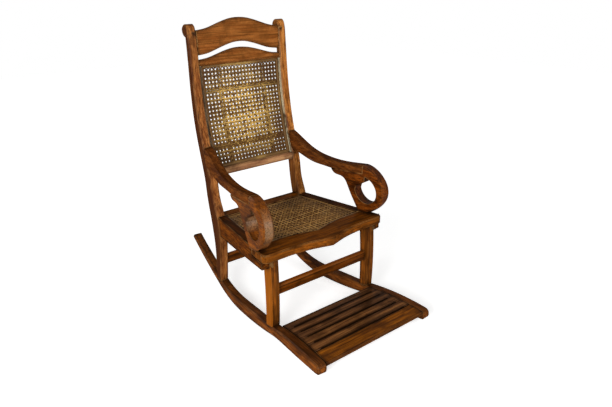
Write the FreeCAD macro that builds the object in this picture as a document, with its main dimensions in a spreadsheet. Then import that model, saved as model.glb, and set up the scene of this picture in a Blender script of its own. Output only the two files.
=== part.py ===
import FreeCAD, Part
import math
import os
import re

# Rocking chair with caned seat and back, scrolled arms and a slatted footrest on the rocker fronts.
# Millimetres, +Z up, floor at Z = 0, front towards -Y, origin under the middle of the rockers.
# The sitter's left is +X. Left pieces are drawn and right pieces are their mirror images.

# Driving dimensions
SIZES = {
    # Side frames: a rocker and a front leg in one upright plane, wider apart in front
    "side_thickness": 37.0,
    "side_spread": 456.0,
    "side_splay_angle": 4.5,
    "edge_ease": 4.0,
    "fit_gap": 0.2,
    "overrun": 20.0,
    "curve_fineness": 0.4,
    # Rockers
    "rocker_length": 948.0,
    "rocker_depth": 46.0,
    "rest_offset": 27.0,
    "sole_radius": 1300.0,
    "sole_front": 198.0,
    "sole_rear": 34.0,
    "knee_radius": 425.0,
    "knee_length": 172.0,
    "knee_depth": 29.0,
    "tail_radius": 2200.0,
    "tail_depth": 19.0,
    "toe_depth": 40.0,
    "instep_height": 17.0,
    "footrest_crown": 64.0,
    "footrest_crown_place": -325.0,
    "footrest_radius": 1090.0,
    "toe_nose": 20.0,
    # Front legs
    "leg_front": -183.0,
    "leg_depth": 49.0,
    "leg_foot_depth": 41.0,
    "leg_bow": 5.0,
    "leg_tenon_width": 22.0,
    "leg_tenon_length": 18.0,
    # Back posts, in upright planes that run straight fore and aft
    "post_spread": 424.0,
    "post_thickness": 37.0,
    "post_front": 206.0,
    "post_height": 1043.0,
    "post_lean": 136.0,
    "post_depth": 49.0,
    "post_tenon_width": 20.0,
    "post_tenon_length": 36.0,
    "ear_height": 49.0,
    "ear_reach": 48.0,
    # Seat frame and cane
    "seat_height": 358.0,
    "seat_front": -195.0,
    "seat_front_width": 592.0,
    "seat_rear_width": 450.0,
    "seat_rear": 222.0,
    "seat_point": 34.0,
    "seat_corner_radius": 20.0,
    "front_rail_thickness": 34.0,
    "front_rail_width": 88.0,
    "side_rail_width": 36.0,
    "side_rail_front_depth": 60.0,
    "side_rail_rear_depth": 84.0,
    "side_rail_tongue": 12.0,
    "back_rail_depth": 60.0,
    "back_rail_front": 203.0,
    "back_rail_rear": 258.0,
    "cane_ledge": 10.0,
    "cane_recess": 5.0,
    "cane_thickness": 3.0,
    # Arms and scrolls, in upright planes from the posts to the front corners of the seat
    "arm_thickness": 43.0,
    "scroll_inset": 13.0,
    "arm_height": 546.0,
    "arm_rise": 88.0,
    "arm_depth": 34.0,
    "arm_root_depth": 74.0,
    "arm_nose": -115.0,
    "arm_nose_rise": 10.0,
    "scroll_spur": 50.0,
    "scroll_front": -220.0,
    "scroll_foot_front": -142.0,
    "scroll_foot_rear": -94.0,
    "scroll_dowel_radius": 8.0,
    "scroll_dowel_length": 22.0,
    "arm_ease": 6.0,
    # Back rails
    "crest_bottom": 977.0,
    "crest_height": 92.0,
    "crest_rise": 41.0,
    "back_board_thickness": 20.0,
    "top_rail_bottom": 937.0,
    "top_rail_height": 23.0,
    "top_rail_rise": 36.0,
    "bottom_rail_bottom": 511.0,
    "bottom_rail_height": 31.0,
    "back_inset": 2.0,
    "bead_width": 8.0,
    "bead_depth": 13.0,
    "bead_inset": 4.0,
    "back_cane_inset": 9.0,
    # Stretchers
    "front_stretcher_place": -161.0,
    "front_stretcher_height": 190.0,
    "rear_stretcher_place": 227.0,
    "rear_stretcher_height": 160.0,
    "stretcher_thickness": 24.0,
    "stretcher_depth": 38.0,
    # Tenons of the rails
    "tenon_thickness": 10.0,
    "tenon_shoulder": 6.0,
    "side_tenon_length": 14.0,
    # Footrest
    "slat_rear": -199.0,
    "slat_width": 40.0,
    "slat_gap": 1.0,
    "slot_width": 7.0,
    "slot_margin": 28.0,
    "slat_thickness": 17.0,
    "slat_ease": 2.0,
    "front_board_width": 68.0,
    "front_board_ease": 5.0,
    "cleat_thickness": 14.0,
    "cleat_depth": 12.0,
}

SLAT_COUNT = 5
# Openings of the caned sheets, side by side and from end to end
BACK_MESH_COLUMNS = 6
BACK_MESH_ROWS = 7
SEAT_MESH_COLUMNS = 6
SEAT_MESH_ROWS = 4

# Curves as shares of the sizes that they follow
# Back post, from foot to ear: share of the height, share of the lean, share of the depth
POST_SHARES = [
    (0.06, 0.09, 0.72),
    (0.2, 0.0, 0.86),
    (0.345, 0.06, 1.18),
    (0.41, 0.25, 0.94),
    (0.48, 0.335, 0.9),
    (0.55, 0.475, 0.87),
    (0.7, 0.765, 0.78),
    (0.85, 0.92, 0.6),
    (1.0, 1.0, 0.5),
]
# Rolled ear on the post, from its front edge over the top to its rear edge
EAR_SHARES = [(0.1, 0.6), (0.32, 0.97), (0.72, 0.97), (1.0, 0.62), (0.88, 0.24), (0.58, 0.05)]
# Bell curve of the crest: share of the half width, share of the rise
BELL_SHARES = [(0.85, 0.03), (0.7, 0.14), (0.5, 0.45), (0.25, 0.84)]
# Bracket front of the seat: share of the half width, share of the point
BRACKET_SHARES = [(0.25, 0.38), (0.5, 0.05), (0.75, 0.0)]
# Arm, from the post to the nose: share of the way, share of the rise
ARM_TOP_SHARES = [(0.13, 0.69), (0.33, 0.225), (0.5, 0.055), (0.68, 0.0), (0.85, 0.045)]
ARM_UNDER_SHARES = [(0.22, 0.25), (0.335, 0.1), (0.47, 0.035)]
# Rear of the scroll: share of its length forward from the spur, share of the way up from the seat to the arm
SCROLL_REAR_SHARES = [
    (0.06, 0.887),
    (0.14, 0.861),
    (0.22, 0.842),
    (0.28, 0.759),
    (0.34, 0.579),
    (0.4, 0.386),
    (0.46, 0.219),
]
# Front of the scroll: share of its length forward from the spur, share of the way from the seat to the nose
SCROLL_FRONT_SHARES = [
    (0.81, 0.08),
    (0.91, 0.21),
    (0.975, 0.34),
    (1.0, 0.52),
    (0.97, 0.67),
    (0.91, 0.79),
    (0.82, 0.9),
]
# Opening of the scroll, with the square beak that enters it from above
SCROLL_HOLE_SHARES = [
    (0.483, 0.46),
    (0.53, 0.33),
    (0.64, 0.225),
    (0.77, 0.24),
    (0.845, 0.33),
    (0.872, 0.49),
    (0.855, 0.57),
    (0.78, 0.7),
    (0.655, 0.775),
]
SCROLL_BEAK_SHARES = [(0.648, 0.655), (0.5, 0.54)]
# Most that the edges of the scroll are cut off, as a share of its height
SCROLL_EASE_SHARE = 0.031
# Caned sheets: the share of each step of the grid that is open
MESH_OPEN_SHARE = 0.5

doc = FreeCAD.newDocument("RockingChair")
sheet = doc.addObject("Spreadsheet::Sheet", "Sizes")
for row, (name, value) in enumerate(SIZES.items(), start=1):
    sheet.set(f"A{row}", name)
    sheet.set(f"B{row}", str(value))
    sheet.setAlias(f"B{row}", name)
doc.recompute()


def size(name):
    """A driving dimension, read from the sheet."""
    return float(sheet.get(name))


def bind(target, prop, text):
    """Bind a property to a number, or to a sum of driving dimensions written with their names."""
    target.setExpression(prop, re.sub(r"\b([a-z]+_[a-z_]+|overrun)\b", r"Sizes.\1", str(text)))


def flat(u, v):
    """A point of an outline."""
    return FreeCAD.Vector(u, v, 0)


def line(start, end):
    """A straight stretch of an outline."""
    return Part.LineSegment(start, end)


def curve(points, start=None, end=None):
    """A smooth stretch of an outline through points, as tangent arcs, with end directions if they matter."""
    spline = Part.BSplineCurve()
    if start is not None and end is not None:
        spline.interpolate(Points=points, InitialTangent=start, FinalTangent=end)
    else:
        spline.interpolate(Points=points)
    return spline.toBiArcs(size("curve_fineness"))


def arc(start, middle, end):
    """A round stretch of an outline through three points."""
    return Part.Arc(start, middle, end)


def chain(*points):
    """Straight stretches through points."""
    return [line(a, b) for a, b in zip(points, points[1:])]


AXES = {"YZ_Plane": 0, "XZ_Plane": 1, "XY_Plane": 2}


def board(label, plane, outline, thickness, eased=None):
    """A board of even thickness about its middle plane; its outline is sawn stretches and square ones."""
    sawn, square = outline
    body = doc.addObject("PartDesign::Body", label)
    sketch = body.newObject("Sketcher::SketchObject", label + "_outline")
    support = [feature for feature in body.Origin.OriginFeatures if feature.Role == plane][0]
    sketch.AttachmentSupport = [(support, "")]
    sketch.MapMode = "FlatFace"
    for stretch in [*sawn, *square]:
        sketch.addGeometry(stretch, False)
    pad = body.newObject("PartDesign::Pad", label + "_pad")
    pad.Profile = sketch
    pad.SideType = "Symmetric"
    bind(pad, "Length", thickness)
    if eased:
        doc.recompute()
        arris = body.newObject("PartDesign::Chamfer", label + "_arris")
        arris.Base = (pad, edges_along(pad.Shape, sawn, AXES[plane]))
        bind(arris, "Size", eased)
    doc.recompute()
    return body


def edges_along(shape, stretches, axis):
    """Names of the edges of a board that run along some stretches of its outline."""
    wanted = [ends_of(stretch.StartPoint[:2], stretch.EndPoint[:2]) for stretch in stretches]
    names = []
    for index, edge in enumerate(shape.Edges, start=1):
        ends = [[value for way, value in enumerate(vertex.Point) if way != axis] for vertex in edge.Vertexes]
        if ends_of(ends[0], ends[-1]) in wanted:
            names.append(f"Edge{index}")
    return names


def ends_of(start, end):
    """The two ends of a stretch as a pair that can be compared, whichever way it runs."""
    return sorted(tuple(round(value, 3) + 0.0 for value in point) for point in (start, end))


def eased_section(centre, along, width, height, ease):
    """A rectangular section with its corners cut off, about a centre."""
    up = flat(-along.y, along.x)
    half = width / 2
    rise = height / 2
    corners = [(half, rise - ease), (half - ease, rise), (ease - half, rise), (-half, rise - ease)]
    corners += [(-half, ease - rise), (ease - half, -rise), (half - ease, -rise), (half, ease - rise)]
    points = [centre + along * u + up * v for u, v in corners]
    return [], chain(*points, points[0])


def board_and_room(label, plane, outline, thickness, eased, pose):
    """A board with eased edges, and its square-edged room that neighbours are cut by."""
    piece = pose(board(label, plane, outline, thickness, eased))
    room = pose(board(label + "_square", plane, outline, thickness))
    return piece, room


def stand(body, spread, angle):
    """Stand a board that was drawn in the middle plane in a side plane, open towards the front."""
    bind(body, "Placement.Base.x", spread)
    body.Placement.Rotation = FreeCAD.Rotation(FreeCAD.Vector(0, 0, 1), size(angle))
    bind(body, "Placement.Rotation.Angle", angle)
    return body


def block(label, length, width, height, x, y, z):
    """A straight block about its centre; each size and place is a sum of driving dimensions."""
    solid = doc.addObject("Part::Box", label)
    for prop, axis, extent, centre in (
        ("Length", "x", length, x),
        ("Width", "y", width, y),
        ("Height", "z", height, z),
    ):
        bind(solid, prop, extent)
        bind(solid, f"Placement.Base.{axis}", f"({centre}) - ({extent}) / 2")
    return solid


def peg(label, radius, length, x, y, z):
    """An upright round peg that starts at z."""
    solid = doc.addObject("Part::Cylinder", label)
    bind(solid, "Radius", radius)
    bind(solid, "Height", length)
    bind(solid, "Placement.Base.x", x)
    bind(solid, "Placement.Base.y", y)
    bind(solid, "Placement.Base.z", z)
    return solid


def join(label, *solids):
    """One piece of wood out of several solids."""
    whole = doc.addObject("Part::MultiFuse", label)
    whole.Shapes = list(solids)
    whole.Refine = True
    return whole


def cut(label, base, *tools):
    """A piece less the room that other pieces take."""
    rest = doc.addObject("Part::Cut", label)
    rest.Base = base
    rest.Tool = tools[0] if len(tools) == 1 else join(label + "_room", *tools)
    rest.Refine = True
    return rest


def mirror(label, source):
    """The piece on the other side of the chair."""
    twin = doc.addObject("Part::Mirroring", label)
    twin.Source = source
    twin.Normal = FreeCAD.Vector(1, 0, 0)
    return twin


PIECES = []


def keep(label, piece):
    """Name a finished piece of the chair."""
    piece.Label = label
    PIECES.append(piece)
    return piece


def keep_pair(label, piece):
    """Name a finished left piece and its right twin."""
    keep("left_" + label, piece)
    return keep("right_" + label, mirror("right_" + label, piece))


# Middle of a side frame at a place along it, as a sum of driving dimensions
SIDE_AT = "side_spread / 2 - tan(side_splay_angle * 1 deg) * ({0})"


# Rockers
def sole(place):
    """Height of the round sole of a rocker at a place along it."""
    radius = size("sole_radius")
    return radius - math.sqrt(radius**2 - (place - size("rest_offset")) ** 2)


def footrest_top(place):
    """Height of the crowned footrest at a place along the rockers."""
    radius = size("footrest_radius")
    along = place - size("footrest_crown_place")
    return size("footrest_crown") - radius + math.sqrt(radius**2 - along**2)


def roll(start, slope, radius, place):
    """Follow an arc from a point and slope to a place further back: its end and the slope there."""
    end_slope = math.asin(math.sin(slope) + (place - start.x) / radius)
    return flat(place, start.y + radius * (math.cos(slope) - math.cos(end_slope))), end_slope


def above(point, slope, depth):
    """The point of the top edge that lies square above a point of the underside."""
    return flat(point.x - depth * math.sin(slope), point.y + depth * math.cos(slope))


def footrest_way(place):
    """Direction of the crowned footrest, forward, at a place along the rockers."""
    angle = math.asin((place - size("footrest_crown_place")) / size("footrest_radius"))
    return flat(-math.cos(angle), math.sin(angle))


def knee_start():
    """Where the round sole of a rocker ends and its knee begins, and the slope there."""
    rest = flat(size("rest_offset"), 0)
    return roll(rest, 0, size("sole_radius"), rest.x + size("sole_rear"))


def rocker_outline():
    """Round sole, a knee and a rising tail behind, crowned footrest and blunt nose in front."""
    half = size("rocker_length") / 2
    rest = flat(size("rest_offset"), 0)
    front, front_slope = roll(rest, 0, size("sole_radius"), rest.x - size("sole_front"))
    rear, rear_slope = knee_start()
    knee_middle, knee_slope = roll(rear, rear_slope, size("knee_radius"), rear.x + size("knee_length") / 2)
    knee, tail_slope = roll(rear, rear_slope, size("knee_radius"), rear.x + size("knee_length"))
    tail_middle, middle_slope = roll(knee, tail_slope, size("tail_radius"), (knee.x + half) / 2)
    tail, end_slope = roll(knee, tail_slope, size("tail_radius"), half)
    knee_depth = (size("rocker_depth") + size("knee_depth")) / 2
    tail_depth = (size("knee_depth") + size("tail_depth")) / 2
    tail_top = above(tail, end_slope, size("tail_depth"))
    waist = roll(rest, 0, size("sole_radius"), rest.x - size("sole_front") / 3)
    nose = size("toe_nose")
    toe_top = flat(nose - half, footrest_top(nose - half))
    toe_tip = flat(-half, toe_top.y - size("toe_depth") / 2)
    toe_foot = flat(nose - half, toe_top.y - size("toe_depth"))
    leg_top = flat(size("leg_front"), footrest_top(size("leg_front")))
    crown = flat(size("footrest_crown_place"), size("footrest_crown"))
    instep = flat((front.x - half) / 2, size("instep_height"))
    backward = flat(1, 0)
    top = [
        tail_top,
        above(tail_middle, middle_slope, tail_depth),
        above(knee, tail_slope, size("knee_depth")),
        above(knee_middle, knee_slope, knee_depth),
        above(*waist, size("rocker_depth")),
        leg_top,
    ]
    sawn = [
        arc(front, rest, rear),
        arc(rear, knee_middle, knee),
        arc(knee, tail_middle, tail),
        *curve(top, flat(-math.cos(end_slope), -math.sin(end_slope)), footrest_way(leg_top.x)),
        arc(leg_top, crown, toe_top),
        *curve([toe_top, toe_tip, toe_foot], footrest_way(toe_top.x), backward),
        *curve([toe_foot, instep, front], backward, flat(math.cos(front_slope), math.sin(front_slope))),
    ]
    return sawn, [line(tail, tail_top)]


def in_side(body):
    """Stand a board in the left side plane."""
    return stand(body, "side_spread / 2", "side_splay_angle")


rocker_blank = in_side(board("rocker_blank", "YZ_Plane", rocker_outline(), "side_thickness", "edge_ease"))
rocker_room = in_side(board("rocker_room", "YZ_Plane", rocker_outline(), "side_thickness + 2 * overrun"))


def wall(label, thickness, pose):
    """The slab that a side frame fills: cross pieces end on its inner face. Both sides."""
    reach = size("rocker_length")
    top = size("post_height") + size("ear_height")
    low = -size("overrun")
    corners = [flat(-reach, low), flat(reach, low), flat(reach, top), flat(-reach, top)]
    slab = pose(board(label, "YZ_Plane", ([], chain(*corners, corners[0])), thickness))
    return slab, mirror(label + "_right", slab)


def in_post(body):
    """Stand a board in the left post plane."""
    bind(body, "Placement.Base.x", "post_spread / 2")
    return body


SIDE_WALLS = wall("side_wall", "side_thickness", in_side)
POST_WALLS = wall("post_wall", "post_thickness", in_post)


def upright_tenon(label, width, length, x, y, z):
    """A tenon half in one piece and half in the next, about its centre, and the socket that takes it."""
    tenon = block(label + "_tenon", "tenon_thickness", width, length, x, y, z)
    socket = block(
        label + "_socket", "tenon_thickness + 2 * fit_gap", f"{width} + 2 * fit_gap",
        f"{length} + 2 * fit_gap", x, y, z,
    )
    return tenon, socket


# Front legs
def leg_outline():
    """A slim leg, bowed a little forward, narrower at the foot."""
    front = size("leg_front")
    top = size("seat_height") - size("front_rail_thickness")
    foot = sole(front) + size("rocker_depth") / 2
    middle = (top + foot) / 2
    front_top = flat(front, top)
    front_foot = flat(front, foot)
    rear_foot = flat(front + size("leg_foot_depth"), foot)
    rear_top = flat(front + size("leg_depth"), top)
    sawn = [
        *curve([front_top, flat(front - size("leg_bow"), middle), front_foot]),
        *curve([rear_foot, flat(rear_foot.x, middle), rear_top]),
    ]
    return sawn, [line(front_foot, rear_foot), line(rear_top, front_top)]


LEG_PLACE = "leg_front + leg_foot_depth / 2"
LEG_X = SIDE_AT.format(LEG_PLACE)
FRONT_RAIL_BOTTOM = "seat_height - front_rail_thickness"
leg_blank, leg_room = board_and_room(
    "leg_blank", "YZ_Plane", leg_outline(), "side_thickness", "edge_ease", in_side
)
LEG_FOOT = footrest_top(size("leg_front")) - size("edge_ease")
leg_top_tenon, leg_top_socket = upright_tenon(
    "leg_top", "leg_tenon_width", "2 * leg_tenon_length", LEG_X, LEG_PLACE, FRONT_RAIL_BOTTOM
)
leg_foot_tenon, leg_foot_socket = upright_tenon(
    "leg_foot", "leg_tenon_width", "2 * leg_tenon_length", LEG_X, LEG_PLACE, LEG_FOOT
)


# Back posts
def post_edge(shares, setback=0.0):
    """A point on the front edge of a back post, or behind it."""
    up, lean, depth = shares
    return flat(size("post_front") + size("post_lean") * lean + setback, size("post_height") * up)


def post_outline():
    """A sawn back post: straight foot, a swell at the seat, leaning and thinner above, with a rolled ear."""
    front = [post_edge(shares) for shares in POST_SHARES]
    rear = [post_edge(shares, size("post_depth") * shares[2]) for shares in POST_SHARES]
    root = front[-1]
    ear = [flat(root.x + size("ear_reach") * u, root.y + size("ear_height") * v) for u, v in EAR_SHARES]
    upright = front[-1] - front[-2]
    sawn = [
        *curve(front, front[1] - front[0], upright),
        *curve([root, *ear, rear[-1]], upright, -upright),
        *curve(rear[::-1], -upright, rear[0] - rear[1]),
    ]
    return sawn, [line(rear[0], front[0])]


def post_front_at(height):
    """Place of the front edge of a back post at a height."""
    edge = Part.Wire([stretch.toShape() for stretch in curve([post_edge(shares) for shares in POST_SHARES])])
    reach = size("rocker_length")
    level = line(flat(-reach, height), flat(reach, height)).toShape()
    return edge.distToShape(level)[1][0][0].x


post_blank = in_post(board("post_blank", "YZ_Plane", post_outline(), "post_thickness", "edge_ease"))
post_room = in_post(board("post_room", "YZ_Plane", post_outline(), "post_thickness + 2 * overrun"))
POST_X = "post_spread / 2"
POST_FOOT = size("rear_stretcher_place") + size("tenon_shoulder")
POST_SEAT = roll(*knee_start(), size("knee_radius"), POST_FOOT)[0].y + size("knee_depth")
post_foot_tenon, post_foot_socket = upright_tenon(
    "post_foot", "post_tenon_width", "post_tenon_length", POST_X, POST_FOOT, POST_SEAT
)


# Rails between the side frames
def rail_tenon(label, height, place, level, reach=POST_X):
    """Tenons at both ends of a rail, as far as the middle of the side frames, and the left mortise."""
    length = "side_thickness / 2 + overrun"
    middle = f"{reach} - ({length}) / 2"
    tenon = block(label + "_tenon", length, "tenon_thickness", height, middle, place, level)
    mortise = block(
        label + "_mortise", f"{length} + 2 * fit_gap", "tenon_thickness + 2 * fit_gap",
        f"{height} + 2 * fit_gap", middle, place, level,
    )
    return (tenon, mirror(label + "_right_tenon", tenon)), mortise


def bell(half, base, rise):
    """The right half of a bell curve from its end to its crown, with level ends."""
    points = [flat(half, base)]
    points += [flat(half * u, base + rise * v) for u, v in BELL_SHARES]
    points.append(flat(0, base + rise))
    return points


def bell_outline(half, height, rise, bottom_rise):
    """A back rail with a bell-shaped top and a straight or bell-shaped bottom."""
    top = bell(half, height, rise)
    low = bell(half, 0, bottom_rise)
    level = flat(-1, 0)
    sawn = [
        *curve([*top, *mirrored(top)[-2::-1]], level, level),
        *curve([*mirrored(low), *low[-2::-1]], -level, -level),
    ]
    return sawn, [line(flat(-half, height), flat(-half, 0)), line(flat(half, 0), flat(half, height))]


def mirrored(points):
    """The same points on the other side of the middle."""
    return [flat(-point.x, point.y) for point in points]


def back_place(height):
    """Place of the middle of the back boards at a height."""
    return post_front_at(height) + size("back_inset") + size("back_board_thickness") / 2


def back_rail_board(label, bottom, height, rise, bottom_rise):
    """A back rail between the posts, at their lean."""
    low = back_place(size(bottom))
    lean = math.atan2(back_place(size(bottom) + height) - low, height)
    pose = FreeCAD.Placement(
        FreeCAD.Vector(0, low, size(bottom)), FreeCAD.Rotation(FreeCAD.Vector(1, 0, 0), -math.degrees(lean))
    )

    def leaning(body):
        body.Placement = pose
        return body

    outline = bell_outline(size("post_spread") / 2, height, rise, bottom_rise)
    return board_and_room(label, "XZ_Plane", outline, "back_board_thickness", "edge_ease", leaning)


def trim(label, blank, walls=POST_WALLS):
    """A cross piece with its shoulders on the inner faces of the side frames."""
    return cut(label, blank, *walls)


crest_blank, crest_room = back_rail_board(
    "crest_blank", "crest_bottom", size("crest_height"), size("crest_rise"), size("crest_rise")
)
top_rail_blank, top_rail_room = back_rail_board(
    "top_rail_blank", "top_rail_bottom", size("top_rail_height"), size("top_rail_rise"), 0
)
bottom_rail_blank, bottom_rail_room = back_rail_board(
    "bottom_rail_blank", "bottom_rail_bottom", size("bottom_rail_height"), 0, 0
)
crest_tenons, crest_mortise = rail_tenon(
    "crest", "crest_height - 2 * tenon_shoulder", back_place(size("crest_bottom") + size("crest_height") / 2),
    "crest_bottom + crest_height / 2",
)
top_rail_tenons, top_rail_mortise = rail_tenon(
    "top_rail", "top_rail_height - tenon_shoulder",
    back_place(size("top_rail_bottom") + size("top_rail_height") / 2),
    "top_rail_bottom + top_rail_height / 2",
)
bottom_rail_tenons, bottom_rail_mortise = rail_tenon(
    "bottom_rail", "bottom_rail_height - 2 * tenon_shoulder",
    back_place(size("bottom_rail_bottom") + size("bottom_rail_height") / 2),
    "bottom_rail_bottom + bottom_rail_height / 2",
)


# Stretchers between the legs and between the posts
def cross_bar(label, place, level, width, height, length):
    """A straight cross piece with eased edges."""
    section = eased_section(flat(place, level), flat(1, 0), width, height, size("edge_ease"))
    return board(label, "YZ_Plane", section, f"2 * ({length})")


FRONT_STRETCHER_X = SIDE_AT.format("front_stretcher_place")
STRETCHER_TENON = "stretcher_depth - 2 * tenon_shoulder"
front_stretcher_blank = cross_bar(
    "front_stretcher_blank", size("front_stretcher_place"), size("front_stretcher_height"),
    size("stretcher_thickness"), size("stretcher_depth"), FRONT_STRETCHER_X,
)
rear_stretcher_blank = cross_bar(
    "rear_stretcher_blank", size("rear_stretcher_place"), size("rear_stretcher_height"),
    size("stretcher_thickness"), size("stretcher_depth"), POST_X,
)
front_stretcher_tenons, front_stretcher_mortise = rail_tenon(
    "front_stretcher", STRETCHER_TENON, "front_stretcher_place", "front_stretcher_height", FRONT_STRETCHER_X
)
rear_stretcher_tenons, rear_stretcher_mortise = rail_tenon(
    "rear_stretcher", STRETCHER_TENON, "rear_stretcher_place", "rear_stretcher_height"
)


# Seat frame
SEAT_TAPER = math.atan2(
    (size("seat_front_width") - size("seat_rear_width")) / 2, size("seat_rear") - size("seat_front")
)


def seat_half(place):
    """Half the outer width of the seat frame at a place."""
    return size("seat_front_width") / 2 - math.tan(SEAT_TAPER) * (place - size("seat_front"))


def bracket(base, end):
    """Right half of the bracket-shaped front, from its middle point to its end."""
    half = size("seat_front_width") / 2
    points = [flat(0, base - size("seat_point"))]
    points += [flat(half * u, base - size("seat_point") * v) for u, v in BRACKET_SHARES]
    points.append(flat(end, base))
    return points


CANE_FRONT = size("seat_front") + size("front_rail_width")
FRONT_RAIL_BUTT = CANE_FRONT + size("cane_ledge")


def front_rail_outline():
    """A flat front rail with a bracket front and rounded corners; its rear edge follows the front."""
    base = size("seat_front")
    radius = size("seat_corner_radius")
    hub = flat(seat_half(base + radius) - radius / math.cos(SEAT_TAPER), base + radius)
    middle = (SEAT_TAPER - math.pi / 2) / 2
    corner, side = [hub + flat(math.cos(turn), math.sin(turn)) * radius for turn in (middle, SEAT_TAPER)]
    outer = flat(seat_half(FRONT_RAIL_BUTT), FRONT_RAIL_BUTT)
    inner = flat(outer.x - size("side_rail_width") - size("cane_ledge"), FRONT_RAIL_BUTT)
    front = bracket(base, hub.x)
    rear = bracket(FRONT_RAIL_BUTT, inner.x)
    sawn = []
    square = []
    for turned, outward in ((list, flat(1, 0)), (mirrored, flat(-1, 0))):
        point, beside = turned(front[:2])
        sawn += curve(turned(front), beside - point, outward)
        sawn += [arc(*turned([front[-1], corner, side])), line(*turned([side, outer]))]
        square += [line(*turned([outer, inner])), *curve(turned(rear))]
    return sawn, square


def cane_outline():
    """The caned opening of the seat, as far as the rebate in the rails."""
    rear = size("back_rail_front")
    front_end = seat_cane_half(CANE_FRONT)
    rear_end = seat_cane_half(rear)
    front = bracket(CANE_FRONT, front_end)
    corners = [front[-1], flat(rear_end, rear), flat(-rear_end, rear), flat(-front_end, CANE_FRONT)]
    return [], [*curve(front), *curve(mirrored(front)), *chain(*corners)]


def mesh_outline(half_at, low, high, columns, rows):
    """A plain grid of openings between two ends of a sheet whose half width may change on the way."""
    stretches = []
    for column in range(columns):
        for row in range(rows):
            reach = MESH_OPEN_SHARE / 2
            sides = [2 * (column + 0.5 + way * reach) / columns - 1 for way in (-1, 1, 1, -1)]
            ends = [low + (high - low) * (row + 0.5 + way * reach) / rows for way in (-1, -1, 1, 1)]
            corners = [flat(side * half_at(end), end) for side, end in zip(sides, ends)]
            stretches += chain(*corners, corners[0])
    return [], stretches


def seat_cane_half(place):
    """Half the width of the caned opening of the seat at a place."""
    return seat_half(place) - size("side_rail_width")


def back_cane_half(level):
    """Half the width of the caned back, the same at every level."""
    return (size("post_spread") - size("post_thickness")) / 2 - size("bead_width")


def at_height(expression):
    """Lay a flat board with its middle at a height."""

    def laid(body):
        bind(body, "Placement.Base.z", expression)
        return body

    return laid


front_rail_blank, front_rail_room = board_and_room(
    "front_rail_blank", "XY_Plane", front_rail_outline(), "front_rail_thickness", "edge_ease",
    at_height("seat_height - front_rail_thickness / 2"),
)
seat_cane_blank = at_height("seat_height - cane_recess - cane_thickness / 2")(
    board("seat_cane_blank", "XY_Plane", cane_outline(), "cane_thickness")
)
seat_mesh = at_height("seat_height")(
    board(
        "seat_mesh", "XY_Plane",
        mesh_outline(seat_cane_half, CANE_FRONT, size("back_rail_front"), SEAT_MESH_COLUMNS, SEAT_MESH_ROWS),
        "overrun",
    )
)
cane_rebate = at_height("seat_height - cane_recess - cane_thickness + overrun / 2")(
    board("cane_rebate", "XY_Plane", cane_outline(), "overrun")
)


def side_rail_outline():
    """A deep side rail that grows shallower towards the front and runs on below the front rail."""
    front = size("seat_front") + size("side_rail_tongue")
    rear = size("seat_rear") + size("post_depth") / 2
    top = size("seat_height")
    corners = [
        flat(front, top),
        flat(front, top - size("side_rail_front_depth")),
        flat(rear, top - size("side_rail_rear_depth")),
        flat(rear, top),
    ]
    return [], chain(*corners, corners[0])


def in_seat_side(body):
    """Stand a board in the upright plane of the left side rail."""
    width = size("side_rail_width") + size("cane_ledge")
    body.Placement = FreeCAD.Placement(
        FreeCAD.Vector(seat_half(0) - width / 2 / math.cos(SEAT_TAPER), 0, 0),
        FreeCAD.Rotation(FreeCAD.Vector(0, 0, 1), math.degrees(SEAT_TAPER)),
    )
    return body


side_rail_blank = in_seat_side(
    board("side_rail_blank", "YZ_Plane", side_rail_outline(), "side_rail_width + cane_ledge")
)
SIDE_RAIL_LEVEL = size("seat_height") - size("side_rail_rear_depth") / 2
SIDE_RAIL_REAR = post_front_at(SIDE_RAIL_LEVEL)
SIDE_RAIL_X = seat_half(SIDE_RAIL_REAR) - size("side_rail_width") / 2
side_rail_tenon = block(
    "side_rail_tenon", "tenon_thickness", "2 * side_tenon_length", "side_rail_rear_depth / 2",
    SIDE_RAIL_X, SIDE_RAIL_REAR, SIDE_RAIL_LEVEL,
)
side_rail_mortise = block(
    "side_rail_mortise", "tenon_thickness + 2 * fit_gap", "2 * side_tenon_length + 2 * fit_gap",
    "side_rail_rear_depth / 2 + 2 * fit_gap", SIDE_RAIL_X, SIDE_RAIL_REAR, SIDE_RAIL_LEVEL,
)
back_rail_blank = cross_bar(
    "back_rail_blank", (size("back_rail_rear") + size("back_rail_front") - size("cane_ledge")) / 2,
    size("seat_height") - size("back_rail_depth") / 2,
    size("back_rail_rear") - size("back_rail_front") + size("cane_ledge"), size("back_rail_depth"), POST_X,
)
back_rail_tenons, back_rail_mortise = rail_tenon(
    "back_rail", "back_rail_depth - 2 * tenon_shoulder", "back_rail_rear - tenon_thickness",
    "seat_height - back_rail_depth / 2",
)


# Arms and scrolls
ARM_LEVEL = size("arm_height") + size("arm_rise") - size("arm_root_depth") / 2
ARM_REAR = post_front_at(ARM_LEVEL)
SCROLL_FOOT = (size("scroll_foot_front") + size("scroll_foot_rear")) / 2
SCROLL_X = seat_half(SCROLL_FOOT) - size("scroll_inset")
ARM_TURN = math.asin((SCROLL_X - size("post_spread") / 2) / (ARM_REAR - SCROLL_FOOT))
ARM_MIDDLE = size("post_spread") / 2 + ARM_REAR * math.sin(ARM_TURN)


def in_arm(body):
    """Stand a board in the left arm plane."""
    body.Placement = FreeCAD.Placement(
        FreeCAD.Vector(ARM_MIDDLE, 0, 0), FreeCAD.Rotation(FreeCAD.Vector(0, 0, 1), math.degrees(ARM_TURN))
    )
    return body


ARM_UNDER = size("arm_height") - size("arm_depth")
ARM_NOSE_TOP = size("arm_height") + size("arm_nose_rise")


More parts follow.
